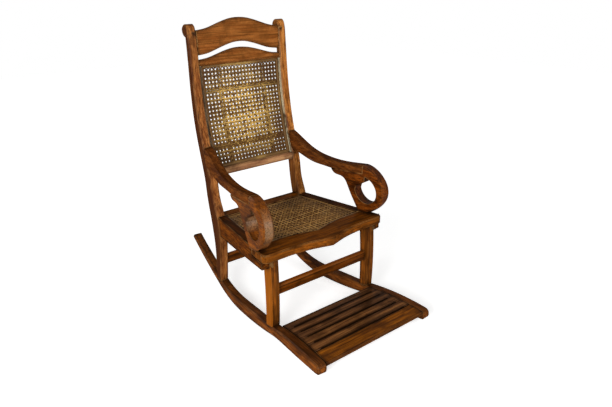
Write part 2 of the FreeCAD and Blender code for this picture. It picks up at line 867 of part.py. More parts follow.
def arm_outline():
    """The arm sweeps down from the post, runs level and lifts a little at the nose, which is cut square."""
    root = ARM_REAR + size("post_depth") / 3
    length = root - size("arm_nose")
    root_top = flat(root, size("arm_height") + size("arm_rise"))
    root_under = flat(root, root_top.y - size("arm_root_depth"))
    top = [flat(root - length * u, size("arm_height") + size("arm_rise") * v) for u, v in ARM_TOP_SHARES]
    under = [flat(root - length * u, ARM_UNDER + size("arm_rise") * v) for u, v in ARM_UNDER_SHARES]
    nose_top = flat(size("arm_nose"), ARM_NOSE_TOP)
    nose_under = flat(size("arm_nose"), ARM_NOSE_TOP - size("arm_depth"))
    spur = flat(size("scroll_spur"), ARM_UNDER)
    sawn = [*curve([root_top, *top, nose_top]), *curve([spur, *under[::-1], root_under])]
    return sawn, [*chain(nose_top, nose_under, spur), line(root_under, root_top)]


def scroll_point(shares, top=ARM_NOSE_TOP):
    """A point of the scroll, forward from its spur and up from the seat."""
    forward, up = shares
    length = size("scroll_spur") - size("scroll_front")
    height = top - size("seat_height")
    return flat(size("scroll_spur") - length * forward, size("seat_height") + height * up)


def scroll_outline():
    """An open scroll that carries the arm: a ring on a foot, a spur behind and a square beak inside."""
    seat = size("seat_height")
    spur = flat(size("scroll_spur"), ARM_UNDER)
    foot_rear = flat(size("scroll_foot_rear"), seat)
    foot_front = flat(size("scroll_foot_front"), seat)
    nose_top = flat(size("arm_nose"), ARM_NOSE_TOP)
    nose_under = flat(size("arm_nose"), ARM_NOSE_TOP - size("arm_depth"))
    hole = [scroll_point(shares) for shares in SCROLL_HOLE_SHARES]
    beak = [scroll_point(shares) for shares in SCROLL_BEAK_SHARES]
    sawn = [
        *curve([spur, *[scroll_point(shares, ARM_UNDER) for shares in SCROLL_REAR_SHARES], foot_rear]),
        *curve([foot_front, *[scroll_point(shares) for shares in SCROLL_FRONT_SHARES], nose_top]),
    ]
    square = [line(foot_rear, foot_front), *chain(nose_top, nose_under, spur)]
    square += [*curve(hole), *chain(hole[-1], *beak, hole[0])]
    return sawn, square


arm_blank = in_arm(board("arm_blank", "YZ_Plane", arm_outline(), "arm_thickness", "arm_ease"))
SCROLL_EASE = f"min(arm_ease; {SCROLL_EASE_SHARE} * (arm_height + arm_nose_rise - seat_height))"
scroll_blank = in_arm(board("scroll_blank", "YZ_Plane", scroll_outline(), "arm_thickness", SCROLL_EASE))
arm_tenon = block(
    "arm_tenon", "tenon_thickness", "2 * side_tenon_length", "arm_root_depth / 2", POST_X, ARM_REAR, ARM_LEVEL
)
arm_mortise = block(
    "arm_mortise", "tenon_thickness + 2 * fit_gap", "2 * side_tenon_length + 2 * fit_gap",
    "arm_root_depth / 2 + 2 * fit_gap", POST_X, ARM_REAR, ARM_LEVEL,
)
scroll_dowel = peg(
    "scroll_dowel", "scroll_dowel_radius", "2 * scroll_dowel_length", SCROLL_X, SCROLL_FOOT,
    "seat_height - scroll_dowel_length",
)
scroll_dowel_hole = peg(
    "scroll_dowel_hole", "scroll_dowel_radius + fit_gap", "2 * scroll_dowel_length", SCROLL_X, SCROLL_FOOT,
    "seat_height - scroll_dowel_length - fit_gap",
)


# Back panel: beads along the posts and the caned sheet between them
def back_strip(low, high, inset, depth):
    """A strip that follows the front of the posts between two heights."""
    front = [flat(post_front_at(level) + inset, level) for level in (low, (low + high) / 2, high)]
    rear = [flat(point.x + depth, point.y) for point in front]
    return [], [arc(*front), arc(*rear), line(front[0], rear[0]), line(front[-1], rear[-1])]


def against_side(body):
    """Stand a footrest cleat against the inner face of the left rocker."""
    angle = math.radians(size("side_splay_angle"))
    inward = (size("side_thickness") + size("cleat_thickness")) / 2
    body.Placement = FreeCAD.Placement(
        FreeCAD.Vector(size("side_spread") / 2 - inward * math.cos(angle), -inward * math.sin(angle), 0),
        FreeCAD.Rotation(FreeCAD.Vector(0, 0, 1), size("side_splay_angle")),
    )
    return body


PANEL_LOW = size("bottom_rail_bottom") + size("bottom_rail_height") / 2
PANEL_HIGH = size("top_rail_bottom") + size("top_rail_height") / 2
bead_blank = board(
    "bead_blank", "YZ_Plane", back_strip(PANEL_LOW, PANEL_HIGH, size("bead_inset"), size("bead_depth")),
    "bead_width",
)
bind(bead_blank, "Placement.Base.x", "post_spread / 2 - post_thickness / 2 - bead_width / 2")
back_cane_blank = board(
    "back_cane_blank", "YZ_Plane",
    back_strip(PANEL_LOW, PANEL_HIGH, size("back_cane_inset"), size("cane_thickness")),
    "post_spread",
)
back_mesh = board(
    "back_mesh", "XZ_Plane",
    mesh_outline(
        back_cane_half, size("bottom_rail_bottom") + size("bottom_rail_height"), size("top_rail_bottom"),
        BACK_MESH_COLUMNS, BACK_MESH_ROWS,
    ),
    "rocker_length",
)


# Footrest
def plank(label, place, width, ease, *slots):
    """A footrest board between the rockers, on their crowned top, with slots along its edges."""
    along = -footrest_way(place)
    up = flat(-along.y, along.x)
    centre = flat(place, footrest_top(place)) - up * (size("slat_thickness") / 2)
    section = eased_section(centre, along, width, size("slat_thickness"), ease)
    blank = board(label + "_blank", "YZ_Plane", section, f"2 * ({SIDE_AT.format(place)})")
    return keep(label, trim(label, blank, [*SIDE_WALLS, *slots]))


def slot(number):
    """The slot between two footrest boards, which stops short of the rockers."""
    place = size("slat_rear") - number * SLAT_STEP + size("slat_gap") / 2
    depth = 2 * size("slat_thickness")
    centre = flat(place, footrest_top(place))
    section = eased_section(centre, -footrest_way(place), size("slot_width"), depth, size("slat_ease"))
    length = f"{SIDE_AT.format(place)} - side_thickness / 2 - slot_margin"
    return board(f"footrest_slot_{number}", "YZ_Plane", section, f"2 * ({length})")


def cleat_outline():
    """A strip under the footrest boards that follows the crown."""
    front = FRONT_BOARD_PLACE - size("front_board_width") / 4
    ends = [size("slat_rear"), size("footrest_crown_place"), front]
    upper = [flat(place, footrest_top(place) - size("slat_thickness")) for place in ends]
    lower = [flat(point.x, point.y - size("cleat_depth")) for point in upper]
    return [], [arc(*upper), line(upper[2], lower[2]), arc(*lower), line(lower[0], upper[0])]


SLAT_STEP = size("slat_width") + size("slat_gap")
FRONT_BOARD_PLACE = size("slat_rear") - SLAT_COUNT * SLAT_STEP - size("front_board_width") / 2
cleat = against_side(board("cleat", "YZ_Plane", cleat_outline(), "cleat_thickness"))

# The pieces of the chair, seated in each other
left_rocker = cut("left_rocker", rocker_blank, leg_foot_socket, post_foot_socket)
left_leg = cut("left_leg_coped", leg_blank, rocker_room)
left_leg = join("left_front_leg_whole", left_leg, leg_top_tenon, leg_foot_tenon)
left_leg = cut("left_front_leg", left_leg, front_stretcher_mortise)
left_post = join("left_post_whole", cut("left_post_coped", post_blank, rocker_room), post_foot_tenon)
left_post = cut(
    "left_back_post", left_post, crest_mortise, top_rail_mortise, bottom_rail_mortise, back_rail_mortise,
    rear_stretcher_mortise, arm_mortise, side_rail_mortise,
)
left_arm = join("left_arm", cut("left_arm_coped", arm_blank, post_room), arm_tenon)
left_scroll = join("left_arm_scroll", scroll_blank, scroll_dowel)
left_side_rail = join(
    "left_side_rail",
    cut("left_side_rail_coped", side_rail_blank, front_rail_room, leg_room, post_room, cane_rebate),
    side_rail_tenon,
)
left_bead = cut("left_bead", bead_blank, top_rail_room, bottom_rail_room)
right_side_rail = keep_pair("seat_side_rail", left_side_rail)
right_bead = keep_pair("back_bead", left_bead)
for label, piece in (
    ("rocker", left_rocker),
    ("front_leg", left_leg),
    ("back_post", left_post),
    ("arm", left_arm),
    ("arm_scroll", left_scroll),
    ("footrest_cleat", cleat),
):
    keep_pair(label, piece)
keep(
    "seat_front_rail",
    cut(
        "seat_front_rail", front_rail_blank, cane_rebate,
        leg_top_socket, mirror("right_leg_socket", leg_top_socket),
        scroll_dowel_hole, mirror("right_dowel_hole", scroll_dowel_hole),
    ),
)
keep(
    "seat_back_rail",
    join(
        "seat_back_rail",
        cut(
            "seat_back_rail_coped", trim("seat_back_rail_trimmed", back_rail_blank),
            left_side_rail, right_side_rail, cane_rebate,
        ),
        *back_rail_tenons,
    ),
)
keep("seat_cane", cut("seat_cane", seat_cane_blank, seat_mesh))
keep("crest_rail", join("crest_rail", trim("crest_trimmed", crest_blank), *crest_tenons))
keep("back_top_rail", join("back_top_rail", trim("top_rail_trimmed", top_rail_blank), *top_rail_tenons))
bottom_rail = trim("bottom_rail_trimmed", bottom_rail_blank)
keep("back_bottom_rail", join("back_bottom_rail", bottom_rail, *bottom_rail_tenons))
back_cane = cut(
    "back_cane_sheet", trim("back_cane_trimmed", back_cane_blank),
    bead_blank, mirror("right_bead_blank", bead_blank), top_rail_room, bottom_rail_room,
)
keep("back_cane", cut("back_cane", back_cane, back_mesh))
front_stretcher = trim("front_trimmed", front_stretcher_blank, SIDE_WALLS)
keep("front_stretcher", join("front_stretcher", front_stretcher, *front_stretcher_tenons))
rear_stretcher = trim("rear_trimmed", rear_stretcher_blank)
keep("rear_stretcher", join("rear_stretcher", rear_stretcher, *rear_stretcher_tenons))
slots = [slot(number + 1) for number in range(SLAT_COUNT)]
for number in range(SLAT_COUNT):
    slat_place = size("slat_rear") - size("slat_width") / 2 - number * SLAT_STEP
    beside = slots[max(number - 1, 0) : number + 1]
    plank(f"footrest_slat_{number + 1}", slat_place, size("slat_width"), size("slat_ease"), *beside)
plank(
    "footrest_front_board", FRONT_BOARD_PLACE, size("front_board_width"), size("front_board_ease"), slots[-1]
)

# Check every object and write each piece to its own file
doc.recompute()
for item in doc.Objects:
    if "Invalid" in item.State or "Error" in item.State:
        raise RuntimeError(f"{item.Name} failed: {item.State}")
os.makedirs("parts", exist_ok=True)
for piece in PIECES:
    shape = piece.Shape
    if shape.isNull() or not shape.isValid() or len(shape.Solids) != 1:
        raise RuntimeError(f"{piece.Label} is not one sound solid")
for piece in PIECES:
    piece.Shape.exportStep(os.path.join("parts", piece.Label + ".step"))
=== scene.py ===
"""Looks of a rocking chair of stained and varnished hardwood with a hand-woven cane seat and back.

The shapes of the wooden pieces come from the CAD model. This script gives them their finishes, weaves the
cane, and sets up the studio and the camera of the photograph. Left and right are the sitter's. The camera
looks from the right, so right is near and left is far.
"""

import logging
import math
from dataclasses import dataclass
from enum import Enum

import bpy
import numpy as np
from mathutils import Matrix, Vector


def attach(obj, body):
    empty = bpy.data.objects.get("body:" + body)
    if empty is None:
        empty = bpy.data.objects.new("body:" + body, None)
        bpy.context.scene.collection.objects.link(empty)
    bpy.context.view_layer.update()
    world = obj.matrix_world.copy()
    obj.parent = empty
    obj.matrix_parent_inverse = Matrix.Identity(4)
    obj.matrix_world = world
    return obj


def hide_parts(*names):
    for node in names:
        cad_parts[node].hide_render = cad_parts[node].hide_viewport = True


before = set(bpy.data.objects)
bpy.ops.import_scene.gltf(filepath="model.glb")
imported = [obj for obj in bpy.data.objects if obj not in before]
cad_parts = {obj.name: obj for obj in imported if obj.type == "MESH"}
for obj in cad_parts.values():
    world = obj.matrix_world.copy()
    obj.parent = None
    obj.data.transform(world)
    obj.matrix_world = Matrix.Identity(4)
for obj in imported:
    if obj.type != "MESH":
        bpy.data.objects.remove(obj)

LOG = logging.getLogger("rocking_chair")
MM = 0.001
WHITE = "#FFFFFF"
MIX_SHARE, MIX_BASE, MIX_TINT, MIX_RESULT = 0, 6, 7, 2  # sockets of a colour mix, whose names aren't unique

Pair = tuple[float, float]
Triple = tuple[float, float, float]


def linear(code: str) -> tuple[float, float, float, float]:
    """Turns an sRGB hex value into the linear colour that Blender's sockets take.

    Args:
        code: Six hex digits after a hash.

    Returns:
        Linear red, green and blue, and full alpha.
    """
    shares = np.array([int(code[start:start + 2], 16) for start in (1, 3, 5)]) / 255.0
    curve = np.where(shares <= 0.04045, shares / 12.92, ((shares + 0.055) / 1.055) ** 2.4)
    return (float(curve[0]), float(curve[1]), float(curve[2]), 1.0)


def add_node(
    tree: bpy.types.NodeTree, kind: str, inputs: dict[str | int, object] | None = None, **settings: object
) -> bpy.types.Node:
    """Adds one node with its settings, values and links.

    Args:
        tree: The material's or world's nodes.
        kind: Blender's name of the node, without its "ShaderNode".
        inputs: Value or output socket for each input, by its name or number.
        settings: The node's own properties.

    Returns:
        The new node.
    """
    node = tree.nodes.new("ShaderNode" + kind)
    for name, value in settings.items():
        setattr(node, name, value)
    for name, value in (inputs or {}).items():
        if isinstance(value, bpy.types.NodeSocket):
            tree.links.new(value, node.inputs[name])
        else:
            node.inputs[name].default_value = value
    return node


def new_material(name: str) -> tuple[bpy.types.Material, bpy.types.NodeTree]:
    """Makes an empty node material.

    Args:
        name: The material's name.

    Returns:
        The material and its nodes.
    """
    material = bpy.data.materials.new(name)
    material.use_nodes = True
    material.node_tree.nodes.clear()
    return material, material.node_tree


@dataclass(frozen=True)
class Layer:
    """A tint over a colour. Its share runs from the first to the last number of share while the pattern runs
    from the first to the last number of span.
    """

    pattern: bpy.types.NodeSocket
    span: Pair
    share: Pair
    tint: str

    def over(self, tree: bpy.types.NodeTree, colour: object) -> bpy.types.NodeSocket:
        """Lays the tint over a colour.

        Args:
            tree: The material's nodes.
            colour: Linear colour, or the socket that gives it.

        Returns:
            The socket of the mixed colour.
        """
        (low, high), (first, last) = self.span, self.share
        amount = add_node(tree, "MapRange", {
            "Value": self.pattern, "From Min": low, "From Max": high, "To Min": first, "To Max": last})
        mixed = add_node(tree, "Mix", {
            MIX_SHARE: amount.outputs[0], MIX_BASE: colour, MIX_TINT: linear(self.tint)}, data_type="RGBA")
        return mixed.outputs[MIX_RESULT]


class Grain(Enum):
    """The way the fibres of a piece of wood run, as the axis of the chair."""

    ACROSS = 0
    LENGTHWISE = 1
    UPRIGHT = 2

    def scale(self, along: float, across: float) -> Triple:
        """Works out the pattern scale of a figure that lies along the fibres.

        Args:
            along: The figure's length in millimetres.
            across: Its width in millimetres.

        Returns:
            The scale along each axis, per metre.
        """
        sizes = [across, across, across]
        sizes[self.value] = along
        return tuple(1.0 / (MM * size) for size in sizes)


@dataclass(frozen=True)
class VarnishedHardwood:
    """Open-pored tropical hardwood, planed by hand, stained red-brown and varnished.

    The eye sees long streaks of darker and lighter stain along the fibres, blotches where it took unevenly,
    stain that has gathered towards the edges, pale arrises that are part rubbing and part painted highlight,
    painted shading on faces that look up and on faces that look sideways, soiling and painted shade in the
    corners, a painted sheen on faces that look forward, and a satin gloss.

    Attributes:
        name: The pieces that carry the finish.
        grain: The way that the fibres run.
        pale, body, dark: Lightest, usual and darkest stain.
        worn, wear: Colour of pale arrises, part rubbing and part painted highlight, and its largest share.
        border, border_mm: Share of stain gathered at the edges, and how far in it reaches.
        grime, top_shading_tint: Share and colour of painted shading on faces that look up.
        flank, side_shading_tint: Share and colour of painted shading on faces that look sideways.
        rubbed, front_sheen_tint: Share and colour of a painted sheen on faces that look forward.
        corner_dirt_and_shade: Share of soiling and painted shade in the corners and hollows.
        polish, varnish_roughness: Weight and roughness of the varnish.
        gloss, gloss_spread: Roughness of the wood under it, and how far that varies.
        figure_mm, streak_mm, pore_mm, blotch_mm: Length and width of each pattern. The streaks are coarser
            than the real fibres of 1 mm, so that they show in the render.
        pore_depth_mm: Depth of the pores.
        arris_mm, corner_mm: How far the pale arrises and the corner soiling and painted shade reach.
        stain_tint, corner_dirt_and_shade_tint: Colours of gathered stain, and of corner soiling and painted
            shade.
    """

    name: str
    grain: Grain
    pale: str
    body: str
    dark: str
    edge_wear_and_sheen_tint: str = "#D09A5C"
    edge_wear_and_sheen: float = 0.7
    border: float = 0.8
    border_mm: float = 14.0
    top_shading: float = 0.3
    top_shading_tint: str = "#1E120A"
    side_shading: float = 0.0
    side_shading_tint: str = "#2A1405"
    front_sheen: float = 0.0
    front_sheen_tint: str = "#A08E70"
    corner_dirt_and_shade: float = 0.85
    polish: float = 0.06
    varnish_roughness: float = 0.28
    gloss: float = 0.36
    gloss_spread: Pair = (-0.07, 0.12)
    figure_mm: Pair = (170.0, 14.0)
    streak_mm: Pair = (200.0, 4.0)
    pore_mm: Pair = (14.0, 0.9)
    blotch_mm: Pair = (90.0, 45.0)
    pore_depth_mm: float = 0.4
    arris_mm: float = 4.0
    corner_mm: float = 40.0
    stain_tint: str = "#1C0D04"
    corner_dirt_and_shade_tint: str = "#160B04"

    def patterns(self, tree: bpy.types.NodeTree, place: bpy.types.NodeSocket) -> list[bpy.types.NodeSocket]:
        """Adds the noises of figure, streaks, pores and blotches, stretched along the fibres.

        Args:
            tree: The material's nodes.
            place: Socket of the place on the piece.

        Returns:
            One socket a noise, in that order.
        """
        noises = []
        for (along, across), detail in (
            (self.figure_mm, 3.0), (self.streak_mm, 4.0), (self.pore_mm, 1.0), (self.blotch_mm, 3.0)
        ):
            at = add_node(tree, "Mapping", {"Vector": place, "Scale": self.grain.scale(along, across)})
            noise = add_node(tree, "TexNoise", {
                "Vector": at.outputs[0], "Scale": 1.0, "Detail": detail, "Roughness": 0.6, "Distortion": 0.4})
            noises.append(noise.outputs[0])
        return noises

    def layers(
        self, tree: bpy.types.NodeTree, normal: bpy.types.NodeSocket, noises: list[bpy.types.NodeSocket]
    ) -> list[Layer]:
        """Lists the layers over the stained wood, painted shading among them, from figure to pale arrises.

        Args:
            tree: The material's nodes.
            normal: Socket of the way that the surface faces.
            noises: Sockets of figure, streaks, pores and blotches.

        Returns:
            The layers, lowest first.
        """
        figure, streak, pore, blotch = noises
        facing = add_node(tree, "SeparateXYZ", {0: normal})
        sideways = add_node(tree, "Math", {0: facing.outputs["X"]}, operation="ABSOLUTE")
        near_edge, arris = [
            add_node(
                tree, "AmbientOcclusion", {"Distance": reach * MM}, samples=8, inside=True, only_local=True)
            for reach in (self.border_mm, self.arris_mm)]
        corner = add_node(tree, "AmbientOcclusion", {"Distance": self.corner_mm * MM}, samples=8)
        edge = add_node(tree, "MapRange", {
            "Value": arris.outputs["AO"], "From Min": 0.6, "From Max": 0.95, "To Min": 1.0, "To Max": 0.0})
        patch = add_node(tree, "MapRange", {"Value": blotch, "From Min": 0.4, "From Max": 0.58})
        edge_rubbing_and_sheen = add_node(tree, "Math", {0: edge.outputs[0], 1: patch.outputs[0]}, operation="MULTIPLY")
        return [
            Layer(figure, span=(0.4, 0.6), share=(0.0, 1.0), tint=self.pale),
            # painted sheen: a pale tint on faces that look forward stands for the varnish's highlight
            Layer(facing.outputs["Y"], span=(-1.0, -0.6), share=(self.front_sheen, 0.0), tint=self.front_sheen_tint),
            Layer(streak, span=(0.46, 0.64), share=(0.0, 0.85), tint=self.dark),
            Layer(pore, span=(0.58, 0.75), share=(0.0, 0.45), tint=self.dark),
            Layer(blotch, span=(0.35, 0.5), share=(0.6, 0.0), tint=self.dark),
            Layer(near_edge.outputs["AO"], span=(0.55, 0.95), share=(self.border, 0.0), tint=self.stain_tint),
            # painted shading on faces that look up: darker where tops got little light, paler on the
            # stretchers
            Layer(facing.outputs["Z"], span=(0.35, 0.85), share=(0.0, self.top_shading), tint=self.top_shading_tint),
            # painted shading on faces that look sideways: a shaded side on the posts, a lit side on the near
            # leg
            Layer(sideways.outputs[0], span=(0.5, 0.9), share=(0.0, self.side_shading), tint=self.side_shading_tint),
            # soiling at joints, and painted shade in corners, hollows and under parts where surfaces come
            # near
            Layer(corner.outputs["AO"], span=(0.35, 0.9), share=(self.corner_dirt_and_shade, 0.0), tint=self.corner_dirt_and_shade_tint),
            # pale arrises: part rubbing of the stain, part painted highlight on the eased edges
            Layer(edge_rubbing_and_sheen.outputs[0], span=(0.0, 1.0), share=(0.0, self.edge_wear_and_sheen), tint=self.edge_wear_and_sheen_tint),
        ]

    def material(self) -> bpy.types.Material:
        """Builds the finish: stained wood under its layers, open pores, and a coat of varnish.

        Returns:
            The material.
        """
        material, tree = new_material(f"varnished_hardwood_{self.name}")
        place = add_node(tree, "TexCoord")
        noises = self.patterns(tree, place.outputs["Object"])
        figure, _, pore, _ = noises
        colour = linear(self.body)
        for layer in self.layers(tree, place.outputs["Normal"], noises):
            colour = layer.over(tree, colour)
        smoothest, roughest = (self.gloss + change for change in self.gloss_spread)
        rough = add_node(tree, "MapRange", {
            "Value": figure, "From Min": 0.3, "From Max": 0.7, "To Min": smoothest, "To Max": roughest})
        relief = add_node(tree, "Bump", {
            "Strength": 0.3, "Distance": self.pore_depth_mm * MM, "Height": pore}, invert=True)
        surface = add_node(tree, "BsdfPrincipled", {
            "Base Color": colour, "Roughness": rough.outputs[0], "Normal": relief.outputs[0],
            "IOR": 1.5, "Specular IOR Level": 0.0,
            "Coat Weight": self.polish, "Coat Roughness": self.varnish_roughness})
        add_node(tree, "OutputMaterial", {0: surface.outputs[0]})
        return material


@dataclass(frozen=True)
class WovenCane:
    """Split rattan cane, woven wet by hand and left to darken.

    The eye sees round glossy strands of straw to olive brown, no two alike, golden where backs have polished
    them, brown with dust towards the rails, and painted shade where they dip under others and in the gaps.

    Attributes:
        name: The panel that carries the finish.
        straw, aged, dusty: Colours of new, old and dusty strands.
        front: The way that the panel's good side faces.
        middle_mm, reach_mm: Middle of the polished part, and how far it reaches along each axis.
        sunk_shade: Share of painted shade on the lowest parts of strands.
        mottle_mm, patch_mm: Size of the mottling along a strand, and of the patches of dust.
        gap_mm: How far the shade of neighbouring strands reaches.
        weave_shade_tint: Colour of the painted shade in the gaps between strands and on their lowest parts.
    """

    name: str
    straw: str
    aged: str
    dusty: str
    front: Triple
    middle_mm: Triple
    reach_mm: Triple
    sunk_shade: float
    mottle_mm: float = 40.0
    patch_mm: float = 90.0
    gap_mm: float = 4.0
    weave_shade_tint: str = "#1E1408"

    def distance(self, tree: bpy.types.NodeTree, place: bpy.types.NodeSocket) -> bpy.types.NodeSocket:
        """Adds the distance from the polished middle, in reaches, made uneven by patches.

        Args:
            tree: The material's nodes.
            place: Socket of the place on the panel.

        Returns:
            The distance's socket.
        """
        from_middle = add_node(tree, "Mapping", {
            "Vector": place, "Scale": [1.0 / (MM * reach) for reach in self.reach_mm],
            "Location": [-middle / reach for middle, reach in zip(self.middle_mm, self.reach_mm)]})
        away = add_node(tree, "VectorMath", {0: from_middle.outputs[0]}, operation="LENGTH")
        uneven = add_node(tree, "TexNoise", {
            "Vector": place, "Scale": 1.0 / (self.patch_mm * MM), "Detail": 2.0})
        total = add_node(tree, "Math", {0: away.outputs["Value"], 1: uneven.outputs[0]}, operation="ADD")
        return total.outputs[0]

    def depth(self, tree: bpy.types.NodeTree, normal: bpy.types.NodeSocket) -> bpy.types.NodeSocket:
        """Adds the painted shade where a part of a strand lies deep in the weave, which shows less on the
        panel's far side.

        Args:
            tree: The material's nodes.
            normal: Socket of the way that the surface faces.

        Returns:
            The depth's socket.
        """
        lift = add_node(tree, "Attribute", attribute_name="strand_lift")
        sunk_shade = add_node(tree, "MapRange", {
            "Value": lift.outputs["Fac"], "From Min": -0.6, "From Max": 0.9,
            "To Min": self.sunk_shade, "To Max": 0.0})
        forward = add_node(tree, "VectorMath", {0: normal, 1: self.front}, operation="DOT_PRODUCT")
        seen = add_node(tree, "MapRange", {
            "Value": forward.outputs["Value"], "From Min": -0.6, "From Max": -0.2,
            "To Min": 0.25, "To Max": 1.0})
        product = add_node(tree, "Math", {0: sunk_shade.outputs[0], 1: seen.outputs[0]}, operation="MULTIPLY")
        return product.outputs[0]

    def material(self) -> bpy.types.Material:
        """Builds the finish: tone per strand, mottling along it, dust towards the edges, and painted shade on
        the low parts and in the gaps.

        Returns:
            The material.
        """
        material, tree = new_material(f"woven_cane_{self.name}")
        whole = add_node(tree, "TexCoord")
        place, normal = whole.outputs["Object"], whole.outputs["Normal"]
        tone = add_node(tree, "Attribute", attribute_name="strand_tone")
        mottle = add_node(tree, "TexNoise", {
            "Vector": place, "Scale": 1.0 / (self.mottle_mm * MM), "Detail": 4.0, "Roughness": 0.65})
        age = add_node(tree, "Math", {0: tone.outputs["Fac"], 1: mottle.outputs[0]}, operation="ADD")
        gap = add_node(tree, "AmbientOcclusion", {"Distance": self.gap_mm * MM}, samples=6)
        distance, depth = self.distance(tree, place), self.depth(tree, normal)
        colour = linear(self.straw)
        for layer in (
            Layer(age.outputs[0], span=(0.7, 1.25), share=(0.0, 1.0), tint=self.aged),
            Layer(distance, span=(0.95, 1.7), share=(0.0, 0.92), tint=self.dusty),
            # painted shade on the low parts of strands, where they dip under others
            Layer(depth, span=(0.0, 1.0), share=(0.0, 1.0), tint=self.weave_shade_tint),
            # painted shade in the gaps, darker where neighbouring strands come near
            Layer(gap.outputs["AO"], span=(0.2, 0.85), share=(0.95, 0.0), tint=self.weave_shade_tint),
        ):
            colour = layer.over(tree, colour)
        rough = add_node(tree, "MapRange", {
            "Value": mottle.outputs[0], "From Min": 0.3, "From Max": 0.7, "To Min": 0.38, "To Max": 0.62})
        surface = add_node(tree, "BsdfPrincipled", {
            "Base Color": colour, "Roughness": rough.outputs[0], "IOR": 1.46, "Specular IOR Level": 0.1})
        add_node(tree, "OutputMaterial", {0: surface.outputs[0]})
        return material


def carried_strip(
    line: np.ndarray, facing: np.ndarray, profile: np.ndarray, width: np.ndarray
) -> tuple[np.ndarray, np.ndarray, list[list[int]]]:
    """Carries a closed profile along a line: point (i, k) is line i, plus the side way times width i and
    profile k's first number, plus the out way times its second. The side way is across both the line and its
    facing, and the out way is across both the side way and the line.

    Args:
        line: Points of the strand's middle, one row each.
        facing: Unit vectors that the strand's round side faces, one row each.
        profile: Closed profile, one row a point, as (sideways, outwards).
        width: Share of the profile's width at each point of the line.

    Returns:
        Vertices, quads between neighbouring rings, and the two end caps.
    """
    along = np.gradient(line, axis=0)
    side = np.cross(along, facing)
    side /= np.linalg.norm(side, axis=1, keepdims=True)
    out = np.cross(side, along)
    out /= np.linalg.norm(out, axis=1, keepdims=True)
    side *= width[:, None]
    points = line[:, None] + side[:, None] * profile[None, :, :1] + out[:, None] * profile[None, :, 1:]
    rows, count = points.shape[:2]
    first = np.arange(rows - 1)[:, None] * count + np.arange(count)[None, :]
    beside = np.arange(rows - 1)[:, None] * count + (np.arange(count)[None, :] + 1) % count
    quads = np.stack([first, beside, beside + count, first + count], axis=-1).reshape(-1, 4)
    caps = [list(range(count - 1, -1, -1)), list(range((rows - 1) * count, rows * count))]
    return points.reshape(-1, 3), quads, caps


def node_points(node: str) -> np.ndarray:
    """Reads the corner points of a CAD node.

    Args:
        node: The node's name.

    Returns:
        The points in metres, one row each.
    """
    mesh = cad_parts[node].data
    points = np.empty(len(mesh.vertices) * 3, np.float32)
    mesh.vertices.foreach_get("co", points)
    return points.reshape(-1, 3).astype(float)


class Weave(Enum):
    """The four ways that strands run in six-way caning, as steps of pitch sideways and up."""

    UP = (0, 1)
    ACROSS = (1, 0)
    RISING = (1, 1)
    FALLING = (-1, 1)


